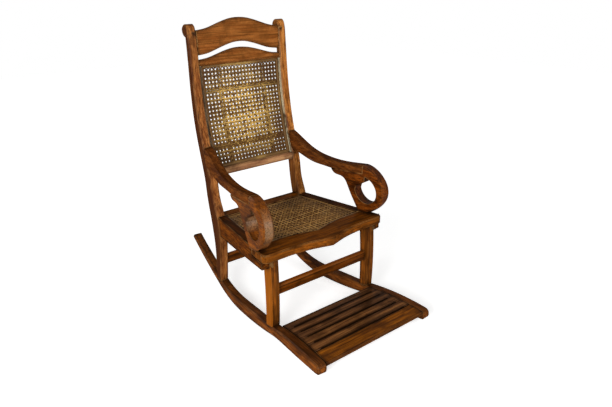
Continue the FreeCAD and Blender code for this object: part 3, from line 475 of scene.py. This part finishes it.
@dataclass
class CanePanel:
    """A panel of six-way caning: pairs of strands up and across, and single strands both ways slantwise
    between the crossings, which leave eight-sided holes. Some rows and columns of holes are closed with more
    strands.

    Attributes:
        piece, node: Names of the woven piece and of the CAD sheet that it stands for.
        finish: The cane's finish.
        columns, rows: Number of holes across and along.
        closed_columns, closed_rows: Which of them are closed.
        pitch_mm: Distance between neighbouring holes.
        strand_mm, strand_round_mm, strand_deep_mm: Width of a strand, and its height above and below its
            middle.
        strand_flat: Share of its width that is flat beneath.
        pair_gap_mm, layer_mm: Distance between the two strands of a pair, and between layers of strands.
        slant_rise_mm: How far a slant strand rises and falls.
        uneven: Least and largest width of a strand, as shares.
        steps_per_pitch: Points along a strand in each pitch.
        edge_mm: Distance of the binding from the panel's edge.
        binding_strands, binding_taper: Width of the binding in strands, and the share of it that is flat
            above.
        binding_thick_mm, binding_lift_mm: Its thickness, and its height over the panel.
        spare: Steps of pitch that strands start before the panel and end after it, before they are cut.
        seed: Start of the random draws.
    """

    piece: str
    node: str
    finish: WovenCane
    columns: int
    rows: int
    closed_columns: tuple[int, ...]
    closed_rows: tuple[int, ...]
    pitch_mm: float = 16.0
    strand_mm: float = 4.6
    strand_round_mm: float = 0.8
    strand_deep_mm: float = 0.4
    strand_flat: float = 0.85
    pair_gap_mm: float = 0.5
    layer_mm: float = 0.6
    slant_rise_mm: float = 1.6
    uneven: Pair = (0.9, 1.08)
    steps_per_pitch: int = 4
    edge_mm: float = 5.0
    binding_strands: float = 2.4
    binding_taper: float = 0.7
    binding_thick_mm: float = 1.1
    binding_lift_mm: float = 1.9
    spare: int = 8
    seed: int = 3

    def lowest(self) -> float:
        """Place along the panel of the first pair of crosswise strands, in metres."""
        raise NotImplementedError

    def inside(self, across: np.ndarray, along: np.ndarray) -> np.ndarray:
        """Whether points of the panel's flat pattern lie inside its outline."""
        raise NotImplementedError

    def on_panel(
        self, across: np.ndarray, along: np.ndarray, out: np.ndarray
    ) -> tuple[np.ndarray, np.ndarray]:
        """Carries points of the flat pattern onto the panel.

        Args:
            across: Places sideways, in metres.
            along: Places along the panel, in metres.
            out: Heights over the panel, in metres.

        Returns:
            The points, and unit vectors of the way that the panel faces there.
        """
        raise NotImplementedError

    def edges(self) -> list[tuple[np.ndarray, np.ndarray]]:
        """Flat lines of the binding cane that covers the panel's edge."""
        raise NotImplementedError

    def width(self, across: np.ndarray, along: np.ndarray) -> np.ndarray:
        """Share of the strands' width at each place of the flat pattern."""
        return np.ones_like(across)

    def starts(self, way: Weave) -> list[Triple]:
        """Lists the strands of one way: where each starts sideways and up, in steps of pitch, and its layer.

        Args:
            way: The way that the strands run.

        Returns:
            Sideways, up and layer for each strand.
        """
        apart = (self.strand_mm + self.pair_gap_mm) / self.pitch_mm / 2
        if way is Weave.UP:
            places = [*range(self.columns + 1), *[column + 0.5 for column in self.closed_columns]]
            return [(place + side * apart, 0.0, side - 0.5) for place in places for side in (-1, 1)]
        if way is Weave.ACROSS:
            places = [*range(self.rows + 1), *[row + 0.5 for row in self.closed_rows]]
            return [(0.0, place + side * apart, side + 0.5) for place in places for side in (-1, 1)]
        reach = self.columns + self.rows + 2 * self.spare
        return [(number + 0.5, 0.0, 0.0) for number in range(-reach, reach)]

    def pattern(self) -> list[tuple[np.ndarray, np.ndarray, np.ndarray]]:
        """Lays out every strand as a line in the flat pattern, cut at the outline. The strands of the pairs
        lie in four layers, up and across by turns. A slant strand rises and falls by one cosine wave a
        pitch, over the pairs that run one way and under those that run the other way.

        Returns:
            Across, along and out for each strand, in metres.
        """
        pitch = self.pitch_mm * MM
        left, low = -self.columns * pitch / 2, self.lowest()
        reach = self.columns + self.rows + self.spare
        steps = np.arange(-self.spare * self.steps_per_pitch, reach * self.steps_per_pitch + 1)
        run = steps / self.steps_per_pitch
        strands = []
        for way in Weave:
            sideways, up = way.value
            wave = sideways * up * self.slant_rise_mm * MM * np.cos(2 * np.pi * run)
            for start, rise, layer in self.starts(way):
                across, along = left + (start + sideways * run) * pitch, low + (rise + up * run) * pitch
                kept = np.flatnonzero(self.inside(across, along))
                if len(kept) > 2:
                    cut = slice(kept[0], kept[-1] + 1)
                    strands.append((across[cut], along[cut], wave[cut] + layer * self.layer_mm * MM))
        return strands

    def shapes(self) -> list[tuple[tuple[np.ndarray, np.ndarray, np.ndarray], np.ndarray]]:
        """Pairs the line of every strand and binding with its profile, flat beneath and round or eased above.

        Returns:
            Across, along and out for each, in metres, with the profile as (sideways, outwards).
        """
        half = self.strand_mm * MM / 2
        flat, round_up, deep = self.strand_flat * half, self.strand_round_mm * MM, self.strand_deep_mm * MM
        strand = np.array([(-flat, -deep), (flat, -deep), (half, 0.0), (0.0, round_up), (-half, 0.0)])
        wide, thick = self.binding_strands * half, self.binding_thick_mm * MM
        top = self.binding_taper * wide
        binding = np.array([(-wide, 0.0), (wide, 0.0), (top, thick), (-top, thick)])
        lift = self.binding_lift_mm * MM
        bound = [((across, along, np.full_like(across, lift)), binding) for across, along in self.edges()]
        return [(line, strand) for line in self.pattern()] + bound

    def build(self) -> bpy.types.Object:
        """Builds the panel as one mesh, dresses it and lets it stand for the plain sheet.

        Returns:
            The woven panel.
        """
        draw = np.random.default_rng(self.seed)
        shapes = self.shapes()
        points, faces, tones, lifts, total = [], [], [], [], 0
        for (across, along, out), profile in shapes:
            line, facing = self.on_panel(across, along, out)
            width = self.width(across, along) * draw.uniform(*self.uneven)
            ring, quads, caps = carried_strip(line, facing, profile, width)
            points.append(ring)
            faces += (quads + total).tolist()
            faces += [[corner + total for corner in cap] for cap in caps]
            tones.append(np.full(len(ring), draw.uniform()))
            lifts.append((out[:, None] + profile[None, :, 1]).ravel() / (self.slant_rise_mm * MM))
            total += len(ring)
        mesh = bpy.data.meshes.new(self.piece)
        mesh.from_pydata(np.concatenate(points).tolist(), [], faces)
        mesh.polygons.foreach_set("use_smooth", np.ones(len(mesh.polygons), bool))
        for name, values in (("strand_tone", tones), ("strand_lift", lifts)):
            attribute = mesh.attributes.new(name, "FLOAT", "POINT")
            attribute.data.foreach_set("value", np.concatenate(values).astype(np.float32))
        mesh.materials.append(self.finish.material())
        mesh.update()
        woven = bpy.data.objects.new(self.piece, mesh)
        bpy.context.scene.collection.objects.link(woven)
        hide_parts(self.node)
        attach(woven, "root")
        LOG.info("%s: %d strands, %d faces", self.piece, len(shapes), len(mesh.polygons))
        return woven


@dataclass
class BackPanel(CanePanel):
    """The caned back, which follows the sweep of the posts. Its strands lie flatter and wider towards the
    bottom rail and the left bead.

    Attributes:
        first_row_mm: Height of the first crosswise pair over the bottom rail.
        least_width, low_gain, left_gain: Share of a strand's width where it is least, and what low and left
            places add to it.
        low_reach: Share of the panel's length over which the low gain fades.
        degree, sweep_steps: Degree of the curve that follows the sweep, and the points that measure it.
        bead_steps, rail_steps: Points along the bindings beside the beads and the rails.
    """

    piece: str = "back_weave"
    node: str = "back_cane"
    finish: WovenCane = WovenCane(
        "back", straw="#F2C46C", aged="#765020", dusty="#583A22", front=(0.0, -1.0, 0.0),
        middle_mm=(-15.0, 310.0, 745.0), reach_mm=(165.0, 900.0, 172.0), sunk_shade=0.95)
    columns: int = 22
    rows: int = 23
    closed_columns: tuple[int, ...] = (4, 17)
    closed_rows: tuple[int, ...] = (4, 18)
    first_row_mm: float = 10.0
    least_width: float = 0.98
    low_gain: float = 0.46
    left_gain: float = 1 / 6
    low_reach: float = 0.75
    degree: int = 4
    sweep_steps: int = 400
    bead_steps: int = 40
    rail_steps: int = 24

    def __post_init__(self) -> None:
        """Reads the sweep of the sheet: a curve of depth over height, measured along its length."""
        points = node_points(self.node)
        self.half_width = float(points[:, 0].max())
        height = np.linspace(points[:, 2].min(), points[:, 2].max(), self.sweep_steps)
        self.curve = np.polyfit(points[:, 2], points[:, 1], self.degree)
        depth = np.polyval(self.curve, height)
        steps = np.hypot(np.diff(height), np.diff(depth))
        self.height, self.length = height, np.concatenate([[0.0], np.cumsum(steps)])

    def lowest(self) -> float:
        """Place of the first crosswise pair above the bottom rail."""
        return self.first_row_mm * MM

    def inside(self, across: np.ndarray, along: np.ndarray) -> np.ndarray:
        """Whether points lie between the beads and the rails."""
        return (np.abs(across) <= self.half_width) & (along >= 0.0) & (along <= self.length[-1])

    def on_panel(
        self, across: np.ndarray, along: np.ndarray, out: np.ndarray
    ) -> tuple[np.ndarray, np.ndarray]:
        """Bends the flat pattern to the sweep: height from the length along it, depth from the curve.

        Args:
            across: Places sideways, in metres.
            along: Places along the sweep, in metres.
            out: Heights over the panel, in metres.

        Returns:
            The points, and unit vectors of the way that the panel faces there.
        """
        height = np.interp(along, self.length, self.height)
        slope = np.polyval(np.polyder(self.curve), height)
        facing = np.stack([np.zeros_like(slope), -np.ones_like(slope), slope], axis=-1)
        facing /= np.linalg.norm(facing, axis=1, keepdims=True)
        line = np.stack([across, np.polyval(self.curve, height), height], axis=-1)
        return line + facing * out[:, None], facing

    def width(self, across: np.ndarray, along: np.ndarray) -> np.ndarray:
        """Widens the strands: the least share, plus what low and left places add in proportion.

        Args:
            across: Places sideways, in metres.
            along: Places along the sweep, in metres.

        Returns:
            Share of the strands' width at each place.
        """
        low = np.clip(1.0 - along / (self.low_reach * self.length[-1]), 0.0, 1.0)
        left = np.clip(across / self.half_width, 0.0, 1.0)
        return self.least_width + self.low_gain * low + self.left_gain * left

    def edges(self) -> list[tuple[np.ndarray, np.ndarray]]:
        """Lays binding cane along the two beads and the two rails.

        Returns:
            Across and along for each binding, in metres.
        """
        inset = self.edge_mm * MM
        side, top = self.half_width - inset, self.length[-1] - inset
        rise = np.linspace(0.0, self.length[-1], self.bead_steps)
        width = np.linspace(-self.half_width, self.half_width, self.rail_steps)
        return [
            (np.full_like(rise, -side), rise), (np.full_like(rise, side), rise),
            (width, np.full_like(width, inset)), (width, np.full_like(width, top))]


@dataclass
class SeatPanel(CanePanel):
    """The caned seat, wider in front, which sags a little in the middle. Its strands are narrow and deep.

    Attributes:
        sag_mm: Depth of the sag.
        dish_mm: Half of the sag's width and of its length.
        last_row: Distance of the last crosswise pair from the rear rail, in steps of pitch.
        same_mm: Points nearer than this to a line of the outline lie on it.
        side_steps, front_steps: Points along the bindings of the sides and back, and of the front.
    """

    piece: str = "seat_weave"
    node: str = "seat_cane"
    finish: WovenCane = WovenCane(
        "seat", straw="#D4A05A", aged="#82582A", dusty="#66492C", front=(0.0, 0.0, 1.0),
        middle_mm=(0.0, 30.0, 352.0), reach_mm=(240.0, 190.0, 900.0), sunk_shade=1.0)
    columns: int = 30
    rows: int = 20
    closed_columns: tuple[int, ...] = (4, 25)
    closed_rows: tuple[int, ...] = (4, 15)
    strand_mm: float = 2.9
    strand_deep_mm: float = 6.0
    layer_mm: float = 0.5
    slant_rise_mm: float = 1.0
    sag_mm: float = 2.0
    dish_mm: Pair = (200.0, 170.0)
    last_row: float = 0.6
    same_mm: float = 0.5
    side_steps: int = 30
    front_steps: int = 60

    def __post_init__(self) -> None:
        """Reads the sheet's outline: straight sides and back, and the bracket line of the front."""
        points = node_points(self.node)
        same = self.same_mm * MM
        self.level = float(points[:, 2].mean())
        self.rear = float(points[:, 1].max())
        left = points[points[:, 0] > 0]
        widest = left[left[:, 0] > left[:, 0].max() - same]
        self.front_corner = (float(widest[:, 0].max()), float(widest[:, 1].max()))
        last = left[left[:, 1] > self.rear - same]
        self.rear_corner = (float(last[:, 0].max()), self.rear)
        front = points[points[:, 1] < self.front_corner[1] + same]
        self.bracket = front[np.argsort(front[:, 0])][:, :2]

    def lowest(self) -> float:
        """Place of the first crosswise pair, counted back from the rear rail."""
        return self.rear - (self.rows + self.last_row) * self.pitch_mm * MM

    def side(self, along: np.ndarray) -> np.ndarray:
        """Half the seat's width at each place, on a straight line from the front corner to the rear one."""
        (front_x, front_y), (rear_x, rear_y) = self.front_corner, self.rear_corner
        return front_x + (along - front_y) * (rear_x - front_x) / (rear_y - front_y)

    def inside(self, across: np.ndarray, along: np.ndarray) -> np.ndarray:
        """Whether points lie behind the bracket line, before the rear rail and between the side rails."""
        front = np.interp(across, self.bracket[:, 0], self.bracket[:, 1])
        return (along >= front) & (along <= self.rear) & (np.abs(across) <= self.side(along))

    def on_panel(
        self, across: np.ndarray, along: np.ndarray, out: np.ndarray
    ) -> tuple[np.ndarray, np.ndarray]:
        """Lays the flat pattern at the seat's level, lowered by the sag times two parabolas, one across and
        one along, which are one in the middle and nothing at the edge of the dish.

        Args:
            across: Places sideways, in metres.
            along: Places from front to back, in metres.
            out: Heights over the panel, in metres.

        Returns:
            The points, and unit vectors of the way that the panel faces there.
        """
        middle = (self.rear + self.front_corner[1]) / 2
        half_width, half_length = (MM * half for half in self.dish_mm)
        wide = np.clip(1 - (across / half_width) ** 2, 0, 1)
        long = np.clip(1 - ((along - middle) / half_length) ** 2, 0, 1)
        level = self.level - self.sag_mm * MM * wide * long + out
        facing = np.tile(np.array([0.0, 0.0, 1.0]), (len(across), 1))
        return np.stack([across, along, level], axis=-1), facing

    def edges(self) -> list[tuple[np.ndarray, np.ndarray]]:
        """Lays binding cane along the sides, the back and the front line.

        Returns:
            Across and along for each binding, in metres.
        """
        inset = self.edge_mm * MM
        run = np.linspace(self.front_corner[1], self.rear, self.side_steps)
        half = self.side(run) - inset
        back = np.linspace(-self.rear_corner[0], self.rear_corner[0], self.side_steps)
        front = np.linspace(-self.front_corner[0], self.front_corner[0], self.front_steps)
        line = np.interp(front, self.bracket[:, 0], self.bracket[:, 1]) + inset
        return [(half, run), (-half, run), (back, np.full_like(back, self.rear - inset)), (front, line)]


@dataclass(frozen=True)
class WoodenAssembly:
    """Sawn and planed pieces that belong together, whose shapes come from the CAD model."""

    def finishes(self) -> dict[VarnishedHardwood, tuple[str, ...]]:
        """Pairs each finish with the pieces that carry it."""
        raise NotImplementedError

    def dress(self) -> None:
        """Gives every piece its finish."""
        for finish, nodes in self.finishes().items():
            material = finish.material()
            for node in nodes:
                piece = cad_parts[node]
                piece.material_slots[0].link = "OBJECT"
                piece.material_slots[0].material = material
                LOG.info("%s: %s", node, material.name)


@dataclass(frozen=True)
class BackFrame(WoodenAssembly):
    """The posts, the rails between them and the beads beside the caned back."""

    crest: VarnishedHardwood = VarnishedHardwood(
        "crest", Grain.ACROSS, pale="#A2622C", body="#864A1C", dark="#5E3612", top_shading=0.2,
        figure_mm=(110.0, 11.0), blotch_mm=(70.0, 60.0))
    bottom_rail: VarnishedHardwood = VarnishedHardwood(
        "bottom_rail", Grain.ACROSS, pale="#CC9868", body="#A87450", dark="#6E482E", border=0.6)
    # the near post is a shaded copy and the far post a lit copy of one wood: painted shade and light
    shaded_near_post: VarnishedHardwood = VarnishedHardwood(
        "shaded_near_post", Grain.UPRIGHT, pale="#B07038", body="#844A22", dark="#401C08",
        side_shading=0.86, side_shading_tint="#381604", border=0.9, border_mm=6.0)
    lit_far_post: VarnishedHardwood = VarnishedHardwood(
        "lit_far_post", Grain.UPRIGHT, pale="#D48A42", body="#A46028", dark="#4C240A",
        side_shading=0.64, side_shading_tint="#401A04", border=0.9, border_mm=6.0)
    # the near bead is a shaded copy; the far bead a lit copy whose pale arrises are a painted highlight
    shaded_near_bead: VarnishedHardwood = VarnishedHardwood(
        "shaded_near_bead", Grain.UPRIGHT, pale="#8A6A48", body="#5C432C", dark="#33231A", edge_wear_and_sheen=0.4, edge_wear_and_sheen_tint="#B8A080")
    lit_far_bead: VarnishedHardwood = VarnishedHardwood(
        "lit_far_bead", Grain.UPRIGHT, pale="#CCB48A", body="#947C58", dark="#4E3C28", edge_wear_and_sheen=0.8, edge_wear_and_sheen_tint="#EADBB8",
        border=0.4)

    def finishes(self) -> dict[VarnishedHardwood, tuple[str, ...]]:
        """Pairs the finishes with posts, rails and beads.

        Returns:
            The finishes, each with the names of its pieces.
        """
        return {
            self.crest: ("crest_rail", "back_top_rail"),
            self.bottom_rail: ("back_bottom_rail",),
            self.shaded_near_post: ("right_back_post",),
            self.lit_far_post: ("left_back_post",),
            self.shaded_near_bead: ("right_back_bead",),
            self.lit_far_bead: ("left_back_bead",),
        }


@dataclass(frozen=True)
class SeatFrame(WoodenAssembly):
    """The seat's rails, the front legs and the stretchers."""

    far_leg: VarnishedHardwood = VarnishedHardwood(
        "far_leg", Grain.UPRIGHT, pale="#9A5416", body="#683A10", dark="#381B06", edge_wear_and_sheen=0.3)
    # the near leg is a lit copy of the far leg: painted orange light on its faces that look sideways
    side_lit_near_leg: VarnishedHardwood = VarnishedHardwood(
        "side_lit_near_leg", Grain.UPRIGHT, pale="#9A5418", body="#683A12", dark="#381B06", edge_wear_and_sheen=0.3,
        side_shading=0.4, side_shading_tint="#C46C10")
    rails: VarnishedHardwood = VarnishedHardwood(
        "seat_rails", Grain.ACROSS, pale="#9A5414", body="#744010", dark="#3C1E06", top_shading=0.2, polish=0.04)
    side_rails: VarnishedHardwood = VarnishedHardwood(
        "side_rails", Grain.LENGTHWISE, pale="#7E420E", body="#582A08", dark="#2E1604", top_shading=0.5, edge_wear_and_sheen=0.2,
        polish=0.03)
    # the pale tint on faces that look up is painted light on the stretchers' tops
    stretchers: VarnishedHardwood = VarnishedHardwood(
        "stretchers", Grain.ACROSS, pale="#723A0C", body="#4A2306", dark="#2E1604", top_shading=0.6,
        top_shading_tint="#9A5218", edge_wear_and_sheen=0.4, border=0.3)

    def finishes(self) -> dict[VarnishedHardwood, tuple[str, ...]]:
        """Pairs the finishes with legs, rails and stretchers.

        Returns:
            The finishes, each with the names of its pieces.
        """
        return {
            self.far_leg: ("left_front_leg",),
            self.side_lit_near_leg: ("right_front_leg",),
            self.rails: ("seat_front_rail", "seat_back_rail"),
            self.side_rails: ("left_seat_side_rail", "right_seat_side_rail"),
            self.stretchers: ("front_stretcher", "rear_stretcher"),
        }


@dataclass(frozen=True)
class ScrollArms(WoodenAssembly):
    """The two arms with their open scrolls, polished by hands."""

    arms: VarnishedHardwood = VarnishedHardwood(
        "arms", Grain.LENGTHWISE, pale="#7E461A", body="#603210", dark="#38190A", top_shading=0.1, edge_wear_and_sheen=0.35,
        border=0.5, polish=0.03)
    # the near scroll is a lit copy with a painted sheen; the far one a shaded copy; both get painted shade in
    # the hollow
    sheened_near_scroll: VarnishedHardwood = VarnishedHardwood(
        "sheened_near_scroll", Grain.LENGTHWISE, pale="#8E4C0E", body="#683408", dark="#341806", top_shading=0.1, edge_wear_and_sheen=0.25,
        border=0.5, corner_dirt_and_shade=1.0, polish=0.13, front_sheen=0.42, blotch_mm=(90.0, 90.0))
    shaded_far_scroll: VarnishedHardwood = VarnishedHardwood(
        "shaded_far_scroll", Grain.LENGTHWISE, pale="#884410", body="#562606", dark="#241004", top_shading=0.4, edge_wear_and_sheen=0.3,
        border=0.5, corner_dirt_and_shade=1.0, polish=0.1)

    def finishes(self) -> dict[VarnishedHardwood, tuple[str, ...]]:
        """Pairs the finishes with arms and scrolls.

        Returns:
            The finishes, each with the names of its pieces.
        """
        return {
            self.arms: ("left_arm", "right_arm"),
            self.sheened_near_scroll: ("right_arm_scroll",),
            self.shaded_far_scroll: ("left_arm_scroll",),
        }


@dataclass(frozen=True)
class RockerBase(WoodenAssembly):
    """The rockers and the footrest between their fronts."""

    rockers: VarnishedHardwood = VarnishedHardwood(
        "rockers", Grain.LENGTHWISE, pale="#94521E", body="#6E3A12", dark="#381C08", top_shading=0.45, edge_wear_and_sheen=0.35)
    # full corner darkening paints shade into the grooves between the slats
    slats: VarnishedHardwood = VarnishedHardwood(
        "slats", Grain.ACROSS, pale="#96623A", body="#68432A", dark="#2A180C", edge_wear_and_sheen=0.0, corner_dirt_and_shade=1.0)
    # slats 4 and 5 have a paler finish than the others
    paler_slats: VarnishedHardwood = VarnishedHardwood(
        "paler_slats", Grain.ACROSS, pale="#B07440", body="#7C4E2C", dark="#341D0E", edge_wear_and_sheen=0.0, corner_dirt_and_shade=1.0)
    front_board: VarnishedHardwood = VarnishedHardwood(
        "front_board", Grain.ACROSS, pale="#A25C16", body="#6C3C12", dark="#381A08", top_shading=0.2, edge_wear_and_sheen=0.15,
        blotch_mm=(140.0, 60.0))

    def finishes(self) -> dict[VarnishedHardwood, tuple[str, ...]]:
        """Pairs the finishes with rockers, cleats, slats and the front board.

        Returns:
            The finishes, each with the names of its pieces.
        """
        return {
            self.rockers: ("left_rocker", "right_rocker", "left_footrest_cleat", "right_footrest_cleat"),
            self.slats: ("footrest_slat_1", "footrest_slat_2", "footrest_slat_3"),
            self.paler_slats: ("footrest_slat_4", "footrest_slat_5"),
            self.front_board: ("footrest_front_board",),
        }


@dataclass(frozen=True)
class PhotoCamera:
    """The camera, standing where the photograph was taken, for a frame of 612 by 407 pixels."""

    place: Triple = (-1.3176, -1.6723, 1.2515)
    azimuth_deg: float = -39.36
    elevation_deg: float = 21.25
    roll_deg: float = -0.383
    lens_mm: float = 34.12
    sensor_mm: float = 36.0

    def build(self) -> bpy.types.Object:
        """Sets up the camera from its place and its three angles.

        Returns:
            The scene's camera.
        """
        angles = (self.azimuth_deg, self.elevation_deg, self.roll_deg)
        turn, lift, roll = (math.radians(angle) for angle in angles)
        back = Vector((math.cos(lift) * math.sin(turn), -math.cos(lift) * math.cos(turn), math.sin(lift)))
        level = Vector((math.cos(turn), math.sin(turn), 0.0))
        upright = back.cross(level)
        right = level * math.cos(roll) + upright * math.sin(roll)
        up = upright * math.cos(roll) - level * math.sin(roll)
        data = bpy.data.cameras.new("photo_camera")
        data.sensor_width, data.lens = self.sensor_mm, self.lens_mm
        camera = bpy.data.objects.new("photo_camera", data)
        axes = Matrix((right, up, back)).transposed().to_4x4()
        camera.matrix_world = Matrix.Translation(self.place) @ axes
        bpy.context.scene.collection.objects.link(camera)
        bpy.context.scene.camera = camera
        return camera


@dataclass(frozen=True)
class SoftLamp:
    """One large soft lamp of the studio, turned to the middle of the chair."""

    name: str
    place: Triple
    width_m: float
    height_m: float
    watts: float
    target: Triple = (0.0, 0.0, 0.5)

    def build(self) -> bpy.types.Object:
        """Hangs the lamp and turns it to its target.

        Returns:
            The lamp.
        """
        data = bpy.data.lights.new(self.name, "AREA")
        data.shape, data.energy = "ELLIPSE", self.watts
        data.size, data.size_y = self.width_m, self.height_m
        lamp = bpy.data.objects.new(self.name, data)
        way = Vector(self.target) - Vector(self.place)
        turn = way.to_track_quat("-Z", "Y").to_matrix().to_4x4()
        lamp.matrix_world = Matrix.Translation(self.place) @ turn
        bpy.context.scene.collection.objects.link(lamp)
        return lamp


@dataclass(frozen=True)
class Studio:
    """A white studio: a pale floor that runs into a white surround, and soft lamps.

    Attributes:
        floor_m: Side of the floor.
        paint: Colour of the floor's white paint.
        near_glow, far_glow: How much the floor glows for the eye under the chair and far from it.
        glow_m: Distances from the chair's middle where the glow starts and ends to rise.
        gloss_glow: How much the floor glows for gloss.
        surround: Strength of the surround as light on the chair.
        lamps: The lamps.
    """

    floor_m: float = 14.0
    paint: str = "#EBEBEA"
    near_glow: float = 0.62
    far_glow: float = 0.93
    glow_m: Pair = (0.5, 2.5)
    gloss_glow: float = 0.35
    surround: float = 0.15
    lamps: tuple[SoftLamp, ...] = (
        SoftLamp("side_window", (-2.4, -1.5, 1.2), width_m=1.1, height_m=1.1, watts=72.0),
        SoftLamp("front_softbox", (1.7, -2.4, 1.9), width_m=0.6, height_m=0.6, watts=8.0),
        SoftLamp("tall_front_softbox", (0.46, -2.7, 1.05), width_m=0.6, height_m=1.3, watts=25.0),
        SoftLamp("rear_softbox", (-1.9, 2.3, 1.9), width_m=1.6, height_m=1.6, watts=26.0),
    )

    def floor_paint(self) -> bpy.types.Material:
        """Builds the floor's matt white paint, which glows a little for the eye and for gloss, so that it is
        white outside the chair's shadow.

        Returns:
            The material.
        """
        material, tree = new_material("white_painted_floor")
        paint = add_node(tree, "BsdfDiffuse", {"Color": linear(self.paint)})
        place = add_node(tree, "TexCoord").outputs["Object"]
        away = add_node(tree, "VectorMath", {0: place}, operation="LENGTH")
        start, end = self.glow_m
        rise = add_node(tree, "MapRange", {
            "Value": away.outputs["Value"], "From Min": start, "From Max": end,
            "To Min": self.near_glow, "To Max": self.far_glow})
        path = add_node(tree, "LightPath")
        plain = add_node(tree, "Math", {
            0: path.outputs["Is Camera Ray"], 1: path.outputs["Is Transmission Ray"]}, operation="MAXIMUM")
        direct = add_node(tree, "Math", {0: plain.outputs[0], 1: rise.outputs[0]}, operation="MULTIPLY")
        mirrored = add_node(tree, "Math", {
            0: path.outputs["Is Glossy Ray"], 1: self.gloss_glow}, operation="MULTIPLY")
        strength = add_node(tree, "Math", {0: direct.outputs[0], 1: mirrored.outputs[0]}, operation="MAXIMUM")
        glow = add_node(tree, "Emission", {"Color": linear(WHITE), "Strength": strength.outputs[0]})
        both = add_node(tree, "AddShader", {0: paint.outputs[0], 1: glow.outputs[0]})
        add_node(tree, "OutputMaterial", {0: both.outputs[0]})
        return material

    def floor(self) -> bpy.types.Object:
        """Lays the painted floor.

        Returns:
            The floor.
        """
        half = self.floor_m / 2
        corners = [(-half, -half, 0.0), (half, -half, 0.0), (half, half, 0.0), (-half, half, 0.0)]
        mesh = bpy.data.meshes.new("studio_floor")
        mesh.from_pydata(corners, [], [(0, 1, 2, 3)])
        mesh.materials.append(self.floor_paint())
        floor = bpy.data.objects.new("studio_floor", mesh)
        bpy.context.scene.collection.objects.link(floor)
        return floor

    def air(self) -> None:
        """Sets the surround: white to the camera, in gloss and through glass, and softer as light."""
        world = bpy.data.worlds.new("white_surround")
        bpy.context.scene.world = world
        world.use_nodes = True
        tree = world.node_tree
        tree.nodes.clear()
        path = add_node(tree, "LightPath")
        shown = add_node(tree, "Math", {
            0: path.outputs["Is Camera Ray"], 1: path.outputs["Is Glossy Ray"]}, operation="MAXIMUM")
        seen = add_node(tree, "Math", {
            0: shown.outputs[0], 1: path.outputs["Is Transmission Ray"]}, operation="MAXIMUM")
        strength = add_node(tree, "MapRange", {
            "Value": seen.outputs[0], "To Min": self.surround, "To Max": 1.0})
        sky = add_node(tree, "Background", {"Color": linear(WHITE), "Strength": strength.outputs[0]})
        add_node(tree, "OutputWorld", {0: sky.outputs[0]})

    def build(self) -> None:
        """Sets up floor, surround and lamps."""
        self.floor()
        self.air()
        for lamp in self.lamps:
            lamp.build()


def main() -> None:
    """Builds the chair's looks and the studio round it, and reports each piece."""
    logging.basicConfig(level=logging.INFO, format="%(name)s %(message)s")
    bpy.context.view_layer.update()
    for assembly in (BackFrame(), SeatFrame(), ScrollArms(), RockerBase()):
        assembly.dress()
    for panel in (BackPanel(), SeatPanel()):
        panel.build()
    Studio().build()
    PhotoCamera().build()
    bpy.context.scene.view_settings.view_transform = "Standard"


if __name__ == "__main__":
    main()
